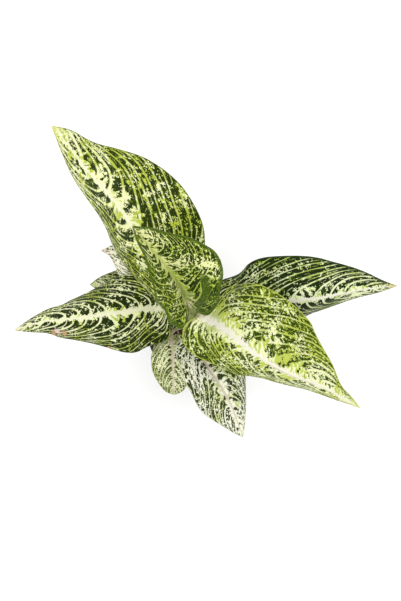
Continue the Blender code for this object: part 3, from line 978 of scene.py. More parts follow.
class GrownLeaf:
    """Builds one leaf from its own sizes and those that all share."""

    def __init__(self, leaf: Leaf, shape: BladeShape, cane: Cane) -> None:
        """Lays out the line from the cane to the tip, with a frame at each point of it.

        Distances run from the joint: below zero on the stalk, above it on the midrib. The side
        vectors point to the leaf's right and the normals out of its upper face.

        Args:
            leaf: The leaf's own sizes.
            shape: The sizes that all blades share.
            cane: The cane that carries it.
        """
        self.leaf = leaf
        self.shape = shape
        midrib = through(leaf.midrib, 160)
        ahead = unit(np.gradient(midrib, axis=0))
        steps = measured(midrib)
        self.length = steps[-1]

        stalk = self.stalk_line(cane, midrib[0], ahead[0])
        run = measured(stalk)
        self.stalk_length = run[-1]
        self.places = np.concatenate([run[:-1] - run[-1], steps])
        self.points = np.vstack([stalk[:-1], midrib])
        self.ahead = unit(np.gradient(self.points, self.places, axis=0))

        outward = unit((midrib[0] - stalk[0]) * (1, 1, 0))
        clasp = np.array([outward[1], -outward[0], 0.0])
        over = unit(np.cross(ahead, (0.0, 0.0, 1.0)))
        turn = ease(1 + (run[:-1] - run[-1]) / run[-1])[:, None]
        side = np.vstack([clasp + (over[0] - clasp) * turn, over])
        side = unit(side - np.sum(side * self.ahead, axis=1, keepdims=True) * self.ahead)
        self.sides = side
        self.normals = np.cross(side, self.ahead)

    def stalk_line(self, cane: Cane, joint: np.ndarray, ahead: np.ndarray) -> np.ndarray:
        """The stalk: up beside the cane, or on from its top, then over into the midrib.

        Args:
            cane: The cane.
            joint: Where the stalk meets the blade.
            ahead: The way the midrib sets off from there.

        Returns:
            Points along the stalk.
        """
        centre, up = cane.centre(self.leaf.foot_height)
        outward = unit((joint - centre) * (1, 1, 0))
        start = centre + outward * self.leaf.foot
        reach = np.linalg.norm(joint - start)
        lean = self.shape.lean if self.leaf.foot else 0.0
        first = start + (up + outward * lean) * 0.35 * reach
        last = joint - ahead * 0.22 * reach
        return bezier((start, first, last, joint), np.linspace(0, 1, 60))

    def at(self, places: np.ndarray) -> tuple[np.ndarray, ...]:
        """The frame at these distances from the joint.

        Args:
            places: The distances.

        Returns:
            Points, ways ahead, sides and normals.
        """
        turned = (self.ahead, self.sides, self.normals)
        found = [unit(read_off(places, self.places, values)) for values in turned]
        return read_off(places, self.places, self.points), *found

    def half_outline(self, lobe: float, fill: tuple[float, ...], rows: int) -> np.ndarray:
        """The edge of one half laid flat, from the joint round the lobe and out to the tip.

        Args:
            lobe: How far the base lobe reaches back.
            fill: How wide the half is beside the common outline, or nothing where it is the same.
            rows: How many rows the blade has.

        Returns:
            Points along the midrib and out from it, one more than the rows.
        """
        leaf, shape = self.leaf, self.shape
        fill = fill or (1.0,) * len(shape.fill_stations)
        points = [(0.0, 0.0)]
        points += [(-lobe * back, leaf.width * fill[0] * out) for back, out in shape.lobe]
        for along, out in shape.body:
            share = out ** (leaf.taper if along > shape.widest else 1.0)
            share *= np.interp(along, shape.fill_stations, fill)
            points.append((self.length * along, leaf.width * share))
        return through([*points, (self.length, 0.0)], rows + 1)

    def flat_blade(self) -> tuple[np.ndarray, ...]:
        """The blade laid flat, as rows of points from the left edge over the midrib to the right.

        Returns:
            Distances along the midrib and out from it, shares of the way to the tip at the midrib,
            and shares of the way to the edge, all rows by columns with the right side positive.
        """
        rows = round(self.length / self.shape.grain)
        columns = round(self.leaf.width / self.shape.grain)
        reach = np.linspace(0, 1, rows + 1)[:, None] ** self.shape.row_lag
        start = self.length * reach
        out = np.linspace(0, 1, columns + 1)
        halves = []
        for lobe, fill in zip(self.leaf.lobes, (self.leaf.left_fill, self.leaf.right_fill)):
            edge = self.half_outline(lobe, fill, rows)
            halves.append((start + (edge[:, :1] - start) * out, edge[:, 1:] * out))
        (left_along, left_across), (right_along, right_across) = halves
        share = np.linspace(-1, 1, 2 * columns + 1)[None] + np.zeros_like(reach)
        return (
            np.hstack([left_along[:, :0:-1], right_along]),
            np.hstack([-left_across[:, :0:-1], right_across]),
            reach + np.zeros_like(share),
            share,
        )

    def slopes(self, stations: tuple[float, ...], share: np.ndarray) -> np.ndarray:
        """Slopes at these shares of the length, in radians, smooth between the stations'."""
        curve = through(tuple(zip(self.shape.stations, stations)), 80)
        return np.radians(np.interp(share, curve[:, 0], curve[:, 1]))

    def bent(self, along: np.ndarray, across: np.ndarray) -> np.ndarray:
        """Puts points of the flat blade in their places on the grown leaf.

        Args:
            along: Distances along the midrib, as rows by columns.
            across: Distances out from it.

        Returns:
            The places in millimetres.
        """
        leaf = self.leaf
        middle, ahead, side, normal = self.at(np.maximum(along, 0.0))
        back = np.minimum(along, 0.0)
        curl = math.radians(leaf.flare) / max(leaf.lobes)
        lift = (back * curl)[..., None]
        middle = middle + (ahead * np.sin(lift) + normal * (1 - np.cos(lift))) / curl
        normal = normal * np.cos(lift) - ahead * np.sin(lift)

        sign = np.where(across < 0, -1.0, 1.0)
        share = along / self.length
        arch = math.radians(leaf.arch)
        left, right = self.slopes(leaf.left, share), self.slopes(leaf.right, share)
        start = np.where(across < 0, left, right) + arch / 2
        bend = arch / leaf.width
        slope = start - bend * np.abs(across)
        out = (np.sin(start) - np.sin(slope)) / bend
        up = (np.cos(slope) - np.cos(start)) / bend
        ripple = np.sin(2 * math.pi * leaf.waves * share + sign)
        up = up + leaf.wave * ripple * (across / leaf.width) ** 2
        return middle + side * (sign * out)[..., None] + normal * up[..., None]

    @staticmethod
    def spacing(along: np.ndarray, across: np.ndarray, rank: np.ndarray) -> np.ndarray:
        """How far apart the side veins are.

        Args:
            along: Distances along the midrib, as rows by columns.
            across: Distances out from it.
            rank: The number of the side vein there, with its share of the way to the next.

        Returns:
            The distance from one vein to the next at each place.
        """
        along_rows, along_columns = np.gradient(along)
        across_rows, across_columns = np.gradient(across)
        rank_rows, rank_columns = np.gradient(rank)
        area = np.abs(along_rows * across_columns - along_columns * across_rows)
        steep = np.hypot(
            rank_rows * across_columns - rank_columns * across_rows,
            rank_columns * along_rows - rank_rows * along_columns,
        )
        return np.clip(area / np.maximum(steep, 1e-9), 0.2, 12.0)

    def from_fold(self, along: np.ndarray, across: np.ndarray) -> tuple[np.ndarray, ...]:
        """How far the places of the blade are from its base lobe's crease line.

        Args:
            along: Distances along the midrib, as rows by columns.
            across: Distances out from it.

        Returns:
            The distances, how far the places are behind the line, and zeros.
        """
        line = through(self.leaf.finish.fold, 60)
        spots = np.stack([along, across], axis=-1)
        apart = np.linalg.norm(spots[:, :, None] - line, axis=-1)
        nearest = apart.argmin(axis=-1)
        ahead = np.gradient(line, axis=0)[nearest]
        away = spots - line[nearest]
        turned = ahead[..., 0] * away[..., 1] - ahead[..., 1] * away[..., 0]
        distance = apart.min(axis=-1)
        return distance, -np.sign(turned) * distance, np.zeros_like(along)

    def blade(self) -> bpy.types.Object:
        """Builds the blade, which dips along its side veins and midrib.

        Returns:
            The blade's object, with what its materials read as attributes.
        """
        leaf, shape = self.leaf, self.shape
        along, across, reach, share = self.flat_blade()
        rows = len(along)
        lag = shape.vein_crowd * (1 + shape.vein_sweep * np.abs(share) ** shape.vein_turn)
        rank = leaf.finish.veins * reach**lag - shape.vein_fan * share**2 * (1 - reach) ** 4
        rank += np.where(share > 0, shape.vein_offset, 0.0)
        rank += shape.vein_wander * np.sin(along * 0.09 + across * 0.05 + leaf.finish.seed)
        run = along + 0.9 * np.abs(across)
        spacing = self.spacing(along, across, rank)

        points = self.bent(along, across)
        lengthwise = np.gradient(points, axis=0)
        sideways = np.gradient(points, axis=1)
        normals = unit(np.cross(sideways, lengthwise))
        body = ease(np.abs(share) * 5) * ease((1 - np.abs(share)) * 6)
        ends = ease(np.linspace(0, 1, rows) * 12) * ease((1 - np.linspace(0, 1, rows)) * 8)
        relief = leaf.pucker * np.abs(np.sin(math.pi * rank)) ** 0.8 * body
        relief += shape.swell * np.sin(along / 13.0 + 2.0 * share) * np.sin(across / 9.0 + 1.0) * body
        relief -= shape.dent * np.exp(-((across / shape.dent_width) ** 2))
        points = points + normals * (relief * ends[:, None])[..., None]

        made, order = Bench.sheet(leaf.node, points)
        layers = {"veins": (rank, share, run), "lamina": (along, across, spacing)}
        if leaf.finish.fold:
            layers["fold"] = self.from_fold(along, across)
        for name, parts in layers.items():
            Bench.attribute(made, name, np.stack([part.reshape(-1)[order] for part in parts], axis=1))
        Bench.edit(made, lambda: bpy.ops.mesh.remove_doubles(threshold=0.003 * MM))
        for under in (False, True):
            name = f"{leaf.node} {'lower' if under else 'upper'} face"
            made.data.materials.append(leaf.finish.face(name, self.length, under))
        thickness = shape.thickness * MM
        Bench.apply(made, "SOLIDIFY", thickness=thickness, offset=0.0, material_offset=1)
        return made

    def stem(self) -> bpy.types.Object:
        """Builds the stalk with its clasping sheath, running on under the blade as the midrib.

        Returns:
            The stem's object, with its material.
        """
        leaf, shape = self.leaf, self.shape
        down = self.stalk_length
        end = shape.rib_end * self.length
        stalk = -down * (1 - np.linspace(0, 1, shape.stalk_rings))
        places = np.concatenate([stalk, np.linspace(0, end, shape.rib_rings)[1:]])
        points, _, sides, normals = self.at(places)
        share = np.clip(1 + places / down, 0, 1)
        sheath = np.sin(np.pi * np.clip(share / shape.sheath_end, 0, 1)) * (share < shape.sheath_end)
        thin = 1 - shape.rib_taper * np.clip(places / end, 0, 1)
        wide = leaf.stalk * (0.95 + (shape.sheath - 1) * sheath) * thin
        deep = leaf.stalk * shape.stalk_depth * thin
        sink = (deep - shape.rib_cover) * ease((places + 6.0) / 8.0)

        turn = np.linspace(0, 2 * math.pi, shape.stalk_sides, endpoint=False)
        out, drop = np.cos(turn)[None], -np.sin(turn)[None]
        groove = (0.35 + 0.45 * sheath)[:, None] * np.exp(-((out / 0.45) ** 2)) * (drop > 0)
        groove *= ease(-places / 8.0)[:, None]
        low = (-sink[:, None] + deep[:, None] * drop * (1 - groove))[..., None]
        broad = (wide[:, None] * out)[..., None]
        rings = points[:, None] + normals[:, None] * low + sides[:, None] * broad
        made = Bench.tube(f"{leaf.node}_stem", rings)

        spots = Bench.vertices(made) / MM
        near = np.argmin(((spots[:, None] - points[None]) ** 2).sum(-1), axis=1)
        away = spots - points[near]
        angle = np.arctan2((away * normals[near]).sum(-1), (away * sides[near]).sum(-1))
        values = np.stack([share[near] + places[near].clip(0) / end, angle, wide[near]], axis=1)
        Bench.attribute(made, "stalk", values)
        made.data.materials.append(StalkSkin().material(f"{leaf.node} stalk"))
        return made

    def build(self) -> bpy.types.Object:
        """Builds the whole leaf as one piece.

        Returns:
            The piece.
        """
        blade, stem = self.blade(), self.stem()
        Bench.pick(blade, stem)
        bpy.ops.object.join()
        blade.name = blade.data.name = f"{self.leaf.node}_living"
        return Bench.finish(blade, [], 55, self.leaf.node)


class Bit(Enum):
    """The kinds of bit in the potting mix."""

    BARK = "bark"
    PERLITE = "perlite"
    FIBRE = "fibre"


@dataclass(frozen=True)
class BitFinish:
    """The look of one kind of bit, from its darkest to its lightest colour."""

    low: Colour
    high: Colour
    roughness: float
    depth: float  # of its grain
    share: float = 0.0  # of all the bits

    def material(self, name: str) -> bpy.types.Material:
        """Makes the material, with a grain on the object's own coordinates.

        Args:
            name: The material's name.

        Returns:
            The material.
        """
        graph = Graph(name, self.roughness, 0.3)
        lumps = graph.lumps(0.3, 0.3)
        grain = graph.lumps(1.7, 1.7, 3.0)
        colour = graph.mix(lumps.rise(0.35, 0.65), self.low, self.high)
        colour = graph.mix(grain.rise(0.5, 0.75) * 0.6, colour, between(self.high, (1, 1, 1), 0.12))
        graph.colour(colour)
        graph.bump(grain, self.depth)
        return graph.material


@dataclass(frozen=True)
class Pot:
    """A tapered nursery pot with a stepped collar, a rolled rim and a ring of drain holes.

    The steps are corners of its outside, by how far they are out and up from the foot, the shoulder
    and the collar.
    """

    height: float = 92.0
    rim_radius: float = 50.0
    collar_radius: float = 48.4
    collar_height: float = 15.0
    shoulder_radius: float = 46.4
    foot_radius: float = 36.0
    wall: float = 1.8
    lip: float = 2.2
    sides: int = 144
    holes: int = 6
    hole_radius: float = 4.0
    hole_circle: float = 24.0
    foot_steps: tuple = ((-6.0, 0.6), (-5.2, 0.0), (-1.5, 0.0), (-0.4, 0.5), (0.0, 1.6), (0.35, 6.0))
    shoulder_steps: tuple = ((-0.2, -3.0), (0.0, -2.0), (0.7, -1.0))
    collar_steps: tuple = ((-0.3, -0.1), (0.0, 0.6), (0.1, 3.2), (0.45, 3.6), (0.45, 4.4), (0.15, 4.8))
    dark: Colour = shown(54, 55, 58)
    light: Colour = shown(66, 67, 69)
    dust: Colour = shown(140, 126, 104)

    def inside(self, height: float) -> float:
        """The inside radius below the collar.

        Args:
            height: The height above the floor.

        Returns:
            The radius there.
        """
        share = (height - self.wall) / (self.height - self.collar_height - self.wall)
        foot = self.foot_radius - self.wall
        return foot + (self.shoulder_radius - self.wall - foot) * share

    def profile(self) -> list[tuple[float, float]]:
        """The pot's section, from the axis underneath round the rim and back inside.

        Returns:
            Radii and heights.
        """
        shoulder = self.height - self.collar_height
        within = self.collar_radius - self.wall
        middle = self.height - self.lip / 2
        half = self.lip / 2
        bead = []
        for k in range(9):
            turn = math.radians(-80 + 20 * k)
            bead.append((self.rim_radius - half + half * math.cos(turn), middle + half * math.sin(turn)))
        return [
            (0.0, 0.6),
            *((self.foot_radius + out, up) for out, up in self.foot_steps),
            *((self.shoulder_radius + out, shoulder + up) for out, up in self.shoulder_steps),
            *((self.collar_radius + out, shoulder + up) for out, up in self.collar_steps),
            (self.collar_radius + 0.4, self.height - self.lip - 0.5),
            *bead,
            (within + 0.8, self.height),
            (within + 0.2, self.height - 0.3),
            (within, self.height - 0.9),
            (within - 0.2, shoulder + 1.2),
            (self.inside(shoulder - 1.0), shoulder - 1.0),
            (self.inside(self.wall + 1.0), self.wall + 1.0),
            (self.inside(self.wall) - 1.0, self.wall),
            (0.0, self.wall),
        ]

    def build(self) -> bpy.types.Object:
        """Builds and dresses the pot.

        Returns:
            The piece.
        """
        pot = Bench.lathe("pot_moulded", self.profile(), self.sides)
        for k in range(self.holes):
            turn = 2 * math.pi * (k + 0.5) / self.holes
            x, y = self.hole_circle * math.cos(turn) * MM, self.hole_circle * math.sin(turn) * MM
            cutter = Bench.add(
                bpy.ops.mesh.primitive_cylinder_add,
                "drain_cutter",
                vertices=40,
                radius=self.hole_radius * MM,
                depth=6 * self.wall * MM,
                location=(x, y, 0),
            )
            Bench.apply(pot, "BOOLEAN", object=cutter, operation="DIFFERENCE", solver="EXACT")
            bpy.data.objects.remove(cutter)
        return Bench.finish(pot, [self.plastic()], 38, "pot")

    def plastic(self) -> bpy.types.Material:
        """Makes the pot's material: dark satin plastic, dustier low down.

        Returns:
            The material.
        """
        graph = Graph("Pot plastic", specular=0.4)
        clouds = graph.lumps(0.05, 0.05, 3.0)
        specks = graph.lumps(0.5, 0.5, 4.0)
        colour = graph.mix(clouds.rise(0.35, 0.7), self.dark, self.light)
        low = 1.0 - graph.place()[2].rise(2.0, 26.0)
        dust = (clouds + low * 0.12).rise(0.52, 0.75) * specks.rise(0.42, 0.62)
        graph.colour(graph.mix(dust * 0.45, colour, self.dust))
        graph.roughness(0.38 + clouds * 0.12 + dust * 0.3)
        graph.bump(graph.lumps(1.1, 1.1, 1.0), 0.06)
        return graph.material


@dataclass(frozen=True)
class PottingMix:
    """The potting mix, rough on top and strewn with bark, perlite and fibre."""

    level: float = 79.0
    mound: float = 3.5
    roughness: float = 1.3
    crumb: float = 0.55  # height of the finest lumps
    lump: float = 9.0
    clearance: float = 0.3
    rings: int = 60
    sides: int = 144
    bits: int = 420
    seed: int = 41
    peat: BitFinish = BitFinish(shown(34, 24, 17), shown(72, 52, 36), 0.95, 0.6)
    kinds: dict[Bit, BitFinish] = field(
        default_factory=lambda: {
            Bit.BARK: BitFinish(shown(58, 38, 24), shown(122, 84, 52), 0.85, 0.4, 0.42),
            Bit.PERLITE: BitFinish(shown(196, 194, 186), shown(236, 234, 228), 0.8, 0.3, 0.3),
            Bit.FIBRE: BitFinish(shown(74, 52, 32), shown(140, 104, 66), 0.9, 0.2, 0.28),
        }
    )

    def height(self, x: float, y: float, radius: float) -> float:
        """The height of the mix's top.

        Args:
            x: The place's distance to the right of the axis.
            y: Its distance behind the axis.
            radius: The mix's own radius.

        Returns:
            The height there.
        """
        mound = self.mound * float(ease(1 - math.hypot(x, y) / radius))
        spot = Vector((x, y, 0.0)) / self.lump
        coarse = noise.noise(spot) + 0.5 * noise.noise(spot * 2.3)
        crumbs = noise.noise(spot * 6.0) + 0.6 * noise.noise(spot * 13.0)
        return self.level + mound + self.roughness * coarse + self.crumb * crumbs

    def build(self, pot: Pot, cane: Cane) -> list[bpy.types.Object]:
        """Builds and dresses the mix.

        Args:
            pot: The pot that it fills.
            cane: The cane that stands in it.

        Returns:
            The mix and its bits.
        """
        radius = pot.inside(self.level) - self.clearance
        bottom = pot.wall + self.clearance
        top = [(radius * (1 - k / self.rings), self.level) for k in range(1, self.rings)]
        profile = [
            (0.0, bottom),
            (pot.inside(bottom) - self.clearance - 1.2, bottom),
            (pot.inside(bottom + 1.2) - self.clearance, bottom + 1.2),
            (pot.inside(self.level - 4.0) - self.clearance, self.level - 4.0),
            (radius - 0.4, self.level - 1.2),
            *top,
            (0.0, self.level),
        ]
        mix = Bench.lathe("soil_mix", profile, self.sides)
        for vertex in mix.data.vertices:
            if vertex.co.z > (self.level - 0.5) * MM:
                vertex.co.z = self.height(vertex.co.x / MM, vertex.co.y / MM, radius) * MM
        made = [Bench.finish(mix, [self.peat.material("Peat")], 80, "soil")]

        middle, _ = cane.centre(self.level)
        chance = np.random.default_rng(self.seed)
        for kind, finish in self.kinds.items():
            pattern = self.pattern(kind)
            copies = []
            while len(copies) < int(self.bits * finish.share):
                away, turn = (radius - 2.5) * math.sqrt(chance.random()), chance.random() * 2 * math.pi
                x, y = away * math.cos(turn), away * math.sin(turn)
                if math.hypot(x - middle[0], y - middle[1]) < cane.foot_radius + 1.5:
                    continue
                size = chance.uniform(0.55, 1.25)
                tilt = Euler((*chance.normal(0, 0.35, 2), chance.random() * 6.3))
                place = Vector((x, y, self.height(x, y, radius) + 0.15)) * MM
                copy = pattern.copy()
                copy.data = pattern.data.copy()
                copy.data.transform(Matrix.LocRotScale(place, tilt, Vector((size,) * 3)))
                bpy.context.scene.collection.objects.link(copy)
                copies.append(copy)
            bpy.data.objects.remove(pattern)
            Bench.pick(*copies)
            bpy.ops.object.join()
            heap = bpy.context.active_object
            heap.name = heap.data.name = f"soil_{kind.value}"
            made.append(Bench.finish(heap, [finish.material(f"Mix {kind.value}")], 40, "soil"))
        return made

    @staticmethod
    def pattern(kind: Bit) -> bpy.types.Object:
        """One bit of a kind, at the origin.

        Args:
            kind: Its kind.

        Returns:
            The bit's object.
        """
        if kind is Bit.FIBRE:
            made = Bench.add(
                bpy.ops.mesh.primitive_cylinder_add, "fibre", vertices=5, radius=0.35 * MM, depth=7 * MM
            )
            Bench.edit(
                made,
                lambda: bpy.ops.transform.rotate(
                    value=math.pi / 2, orient_axis="Y", center_override=(0, 0, 0)
                ),
                lambda: bpy.ops.mesh.bisect(plane_co=(-1.2 * MM, 0, 0), plane_no=(1, 0, 0)),
                lambda: bpy.ops.mesh.select_all(action="SELECT"),
                lambda: bpy.ops.mesh.bisect(plane_co=(1.2 * MM, 0, 0), plane_no=(1, 0, 0)),
            )
            for vertex in made.data.vertices:
                vertex.co.y += 0.9 * MM * math.cos(vertex.co.x / MM * 0.45)
            return made
        size = {Bit.BARK: (2.6, 1.6, 0.7), Bit.PERLITE: (1.3, 1.1, 0.9)}[kind]
        sphere = bpy.ops.mesh.primitive_ico_sphere_add
        made = Bench.add(sphere, kind.value, subdivisions=1, radius=MM)
        Bench.edit(
            made,
            lambda: bpy.ops.transform.resize(value=size),
            lambda: bpy.ops.transform.vertex_random(offset=0.35 * MM, uniform=1.0, seed=5),
        )
        return made


@dataclass(frozen=True)
class Studio:
    """The pale floor, the soft lights and the camera over the plant."""

    target: Point = (0.0, 19.0, 210.0)
    distance: float = 1135.0
    elevation: float = 86.0
    lens: float = 80.0
    sensor: float = 36.0
    sky: float = 1.15
    lamp_size: float = 1.2
    lamp_target: Point = (0.0, 0.0, 0.15)  # like the lamps' places, in metres
    floor_size: float = 40.0

    def build(self) -> None:
        """Sets up the camera, the lights and the floor."""
        self.camera()
        self.lights()
        self.floor()

    def camera(self) -> None:
        """Stands the camera almost straight above, with the back of the plant at the top."""
        rise = math.radians(self.elevation)
        target = Vector(self.target) * MM
        away = Vector((0.0, -math.cos(rise), math.sin(rise)))
        data = bpy.data.cameras.new("camera")
        data.lens, data.sensor_width, data.sensor_fit = self.lens, self.sensor, "AUTO"
        data.clip_start, data.clip_end = 0.05, 50.0
        place = target + away * self.distance * MM
        bpy.context.scene.camera = self.hung("camera", data, place, -away)

    @staticmethod
    def hung(name: str, data: bpy.types.ID, place: Iterable[float], toward: Vector) -> bpy.types.Object:
        """Hangs a camera or a lamp in the scene.

        Args:
            name: Its name.
            data: The camera or lamp data.
            place: Where it hangs, in metres.
            toward: The way it points.

        Returns:
            Its object.
        """
        made = bpy.data.objects.new(name, data)
        made.location = place
        made.rotation_mode = "QUATERNION"
        made.rotation_quaternion = toward.to_track_quat("-Z", "Y")
        bpy.context.scene.collection.objects.link(made)
        return made

    def lights(self) -> None:
        """Hangs four large soft lamps round the plant under a white sky."""
        world = bpy.data.worlds.new("studio")
        world.use_nodes = True
        sky = world.node_tree.nodes["Background"]
        sky.inputs["Color"].default_value = (1.0, 1.0, 1.0, 1.0)
        sky.inputs["Strength"].default_value = self.sky
        bpy.context.scene.world = world
        for name, place, power in (
            ("key", (-1.3, 0.9, 1.7), 8.4),
            ("fill", (1.4, 0.7, 1.5), 4.2),
            ("front", (0.3, -1.6, 1.5), 5.4),
            ("back", (0.2, 1.9, 1.4), 3.0),
        ):
            data = bpy.data.lights.new(name, "AREA")
            data.shape, data.size, data.energy = "DISK", self.lamp_size, power
            toward = Vector(self.lamp_target) - Vector(place)
            self.hung(name, data, place, toward).visible_camera = False
        bpy.context.scene.view_settings.view_transform = "Standard"

    def floor(self) -> None:
        """Lays a wide pale floor under the pot."""
        floor = Bench.add(bpy.ops.mesh.primitive_plane_add, "floor", size=self.floor_size)
        graph = Graph("Floor paper", 0.9, 0.1)
        grain = graph.lumps(0.4, 0.0)
        graph.colour(graph.mix(grain, (0.95, 0.95, 0.95), (0.97, 0.97, 0.97)))
        floor.data.materials.append(graph.material)


# The colours of each blade are dark, green, pale, cream, rib and rim, in this order.
LEAVES = (
    Leaf(
        "leaf_youngest", 146,
        ((-13, 22, 203), (-22, 37, 227), (-32, 49, 250), (-41, 58, 270), (-49, 66, 286), (-54, 72, 297)),
        42,
        Variegation(
            *shades(
                (34, 54, 0), (90, 114, 10), (188, 206, 80), (246, 250, 176), (226, 232, 150),
                (74, 98, 12),
            ),
            veins=12, cover=0.72, edge_cover=1.02, deep=0.5, fleck=2.0, band=(5.5, 2.2),
            vein_width=0.55, margin=3.0, heart=shown(188, 202, 120), rib_width=2.4,
            fold=((23.5, 22.0), (11.3, 18.9), (-1.0, 10.5), (-7.1, 6.3), (-12.0, 7.0)), seed=1.3,
        ),
        left=(54, 52, 42, 43), right=(41, 30, 19, 6),
        left_fill=(1.05, 1.0, 0.95, 1.05, 0.85, 1.1),
        right_fill=(0.95, 1.05, 1.05, 0.95, 0.95, 1.3), taper=0.8, lobes=(10, 24), flare=35,
        foot=0, wave=1.0,
    ),
    Leaf(
        "leaf_front_right", 143,
        ((4, 6, 186), (22, -6, 200), (47, -26, 204), (74, -42, 196), (105, -54, 180), (143, -73, 148)),
        54,
        Variegation(
            *shades(
                (50, 68, 0), (120, 142, 26), (192, 206, 88), (240, 244, 190), (246, 242, 222),
                (176, 190, 76),
            ),
            veins=12, cover=0.62, edge_cover=0.99, deep=0.64, yellow=0.6, fleck=1.8,
            band=(9.0, 3.4), rib_width=4.2, vein_width=1.1, margin=1.2,
            heart=shown(196, 206, 130), tip=shown(208, 216, 92), seed=4.4,
        ),
        left=(-22, 3, 0, 1), right=(-39, -60, -81, -68),
        left_fill=(1.15, 1.0, 1.0, 1.1, 0.8, 1.45), right_fill=(1.0, 0.75, 0.85, 0.8, 0.95, 1.2),
        taper=1.4, lobes=(2, 16),
    ),
    Leaf(
        "leaf_back_left", 138,
        (
            (-18, 24, 188), (-45, 62, 213), (-61, 86, 215), (-77, 108, 211), (-101, 136, 199),
            (-118, 160, 186), (-132, 177, 172),
        ),
        57,
        Variegation(
            *shades(
                (38, 54, 0), (96, 120, 4), (190, 204, 76), (242, 246, 186), (246, 246, 212),
                (92, 112, 24),
            ),
            veins=12, cover=0.8, edge_cover=0.94, deep=0.76, yellow=0.46, fleck=2.0,
            band=(6.5, 2.8), rib_width=3.4, vein_width=1.15, tip=shown(218, 220, 120), seed=7.9,
        ),
        left=(-66, -65, -69, -56), right=(28, 17, 4, -2),
        left_fill=(1.0, 1.0, 1.0, 0.85, 0.9, 1.2), right_fill=(0.6, 0.95, 1.0, 0.95, 0.9, 1.2),
        lobes=(8, 6),
    ),
    Leaf(
        "leaf_left", 122,
        (
            (-28, 16, 145), (-54, 15, 157), (-85, 10, 160), (-123, 6, 148), (-143, 5, 138),
            (-171, -2, 120),
        ),
        41,
        Variegation(
            *shades(
                (28, 42, 0), (74, 96, 4), (182, 198, 80), (238, 242, 188), (242, 242, 206),
                (70, 84, 20),
            ),
            veins=12, cover=0.92, edge_cover=1.12, deep=0.8, yellow=0.36, band=(4.2, 2.2),
            rib_width=3.2, vein_width=0.8, tip=shown(238, 234, 190), seed=11.2,
            blemishes=(
                Blemish(115.0, -12.5, 3.4),
                Blemish(103.5, -13.5, 3.2),
                Blemish(109.5, -11.0, 3.8, shown(230, 204, 190)),
                Blemish(66.0, -35.0, 2.6, shown(176, 140, 96)),
            ),
        ),
        left=(-22, -32, -45, -36), right=(-26, -36, -50, -57),
        left_fill=(1.0, 1.1, 0.95, 0.8, 0.85, 1.1), right_fill=(1.05, 1.05, 1.0, 1.0, 0.95, 1.1),
        lobes=(2, 8),
    ),
    Leaf(
        "leaf_right", 130,
        ((12, 20, 162), (39, 17, 177), (78, 20, 182), (112, 25, 172), (142, 32, 155), (179, 38, 132)),
        44,
        Variegation(
            *shades(
                (22, 38, 0), (62, 90, 4), (178, 198, 92), (234, 242, 190), (244, 240, 222),
                (34, 52, 8),
            ),
            veins=12, cover=0.92, edge_cover=1.2, deep=0.84, yellow=0.42, band=(4.2, 1.9),
            rib_width=2.8, vein_width=0.75, margin=2.0, tip=shown(216, 208, 120), seed=15.2,
        ),
        left=(-33, -6, -2, 0), right=(-41, -48, -78, -78),
        left_fill=(0.8, 0.95, 0.95, 1.0, 1.0, 0.85), right_fill=(1.0, 1.0, 1.0, 0.95, 0.85, 1.15),
        taper=0.9, lobes=(2, 12),
    ),
    Leaf(
        "leaf_front_pale", 116,
        ((-3, -18, 142), (7, -37, 148), (16, -50, 146), (23, -62, 140), (30, -76, 131), (39, -100, 108)),
        29,
        Variegation(
            *shades(
                (50, 62, 22), (118, 136, 58), (206, 215, 146), (250, 250, 226), (222, 210, 192),
                (206, 208, 186),
            ),
            veins=10, cover=0.62, edge_cover=0.76, deep=0.78, yellow=0.4, contrast=1.1, fleck=1.9,
            band=(3.6, 2.6), rib_width=2.0, vein_width=0.6, seed=19.1,
        ),
        left=(-6, -8, -36, -45), right=(16, 18, 7, 6),
        left_fill=(1.0, 1.0, 1.05, 0.95, 0.9, 0.95), right_fill=(1.0, 0.9, 1.0, 1.05, 1.0, 1.05),
        taper=0.8, lobes=(7, 12), stalk=2.0, wave=1.0,
    ),
    Leaf(
        "leaf_front_small", 104,
        ((-27, -8, 128), (-25, -23, 136), (-25, -36, 132), (-24, -61, 98)),
        20,
        Variegation(
            *shades(
                (62, 72, 14), (120, 132, 48), (196, 205, 130), (240, 244, 194), (224, 208, 190),
                (196, 200, 150),
            ),
            veins=9, cover=0.68, edge_cover=0.82, deep=0.7, fleck=1.8, band=(2.2, 1.4),
            rib_width=1.9, vein_width=0.75, seed=23.7,
        ),
        left=(-40, -10, 0, 0), right=(-10, -5, 0, 0), taper=0.5, lobes=(2, 2), stalk=1.6,
        wave=0.6,
    ),
    Leaf(
        "leaf_low_back", 97,
        ((-21, 23, 114), (-56, 54, 129), (-77, 69, 124), (-92, 72, 114)),
        25,
        Variegation(
            *shades(
                (80, 84, 34), (176, 176, 118), (230, 228, 180), (252, 250, 226), (244, 226, 208),
                (206, 200, 170),
            ),
            veins=8, cover=0.8, edge_cover=0.96, deep=0.6, yellow=0.3, fleck=1.9, band=(3.0, 1.0),
            rib_width=1.5, tip=shown(176, 128, 96), seed=27.3,
        ),
        stalk=1.8, wave=0.8,
    ),
    Leaf(
        "leaf_low_left", 89,
        ((-26, 16, 99), (-47, 26, 112), (-70, 36, 113), (-90, 41, 106), (-104, 42, 94)),
        27,
        Variegation(
            *shades(
                (40, 55, 5), (84, 104, 26), (186, 198, 120), (236, 240, 196), (234, 230, 204),
                (70, 88, 16),
            ),
            veins=9, cover=0.76, edge_cover=0.88, deep=0.66, band=(3.5, 1.0), rib_width=1.6,
            vein_width=0.7, seed=31.8,
        ),
        stalk=1.8, wave=0.8,
    ),
)


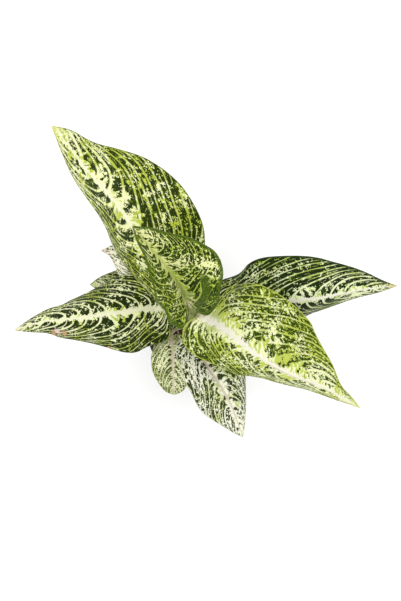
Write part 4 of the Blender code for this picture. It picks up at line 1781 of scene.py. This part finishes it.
def main() -> None:
    """Builds the picture's pieces in order and reports each."""
    logging.basicConfig(level=logging.INFO, format="%(message)s")
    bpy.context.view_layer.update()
    Studio().build()
    cane, pot, shape = Cane(), Pot(), BladeShape()
    made = [pot.build(), *PottingMix().build(pot, cane)]
    made.append(cane.build(leaf.foot_height for leaf in LEAVES))
    for leaf in LEAVES:
        made.append(GrownLeaf(leaf, shape, cane).build())
    for piece in made:
        LOG.info("%s: %d faces", piece.name, len(piece.data.polygons))


if __name__ == "__main__":
    main()
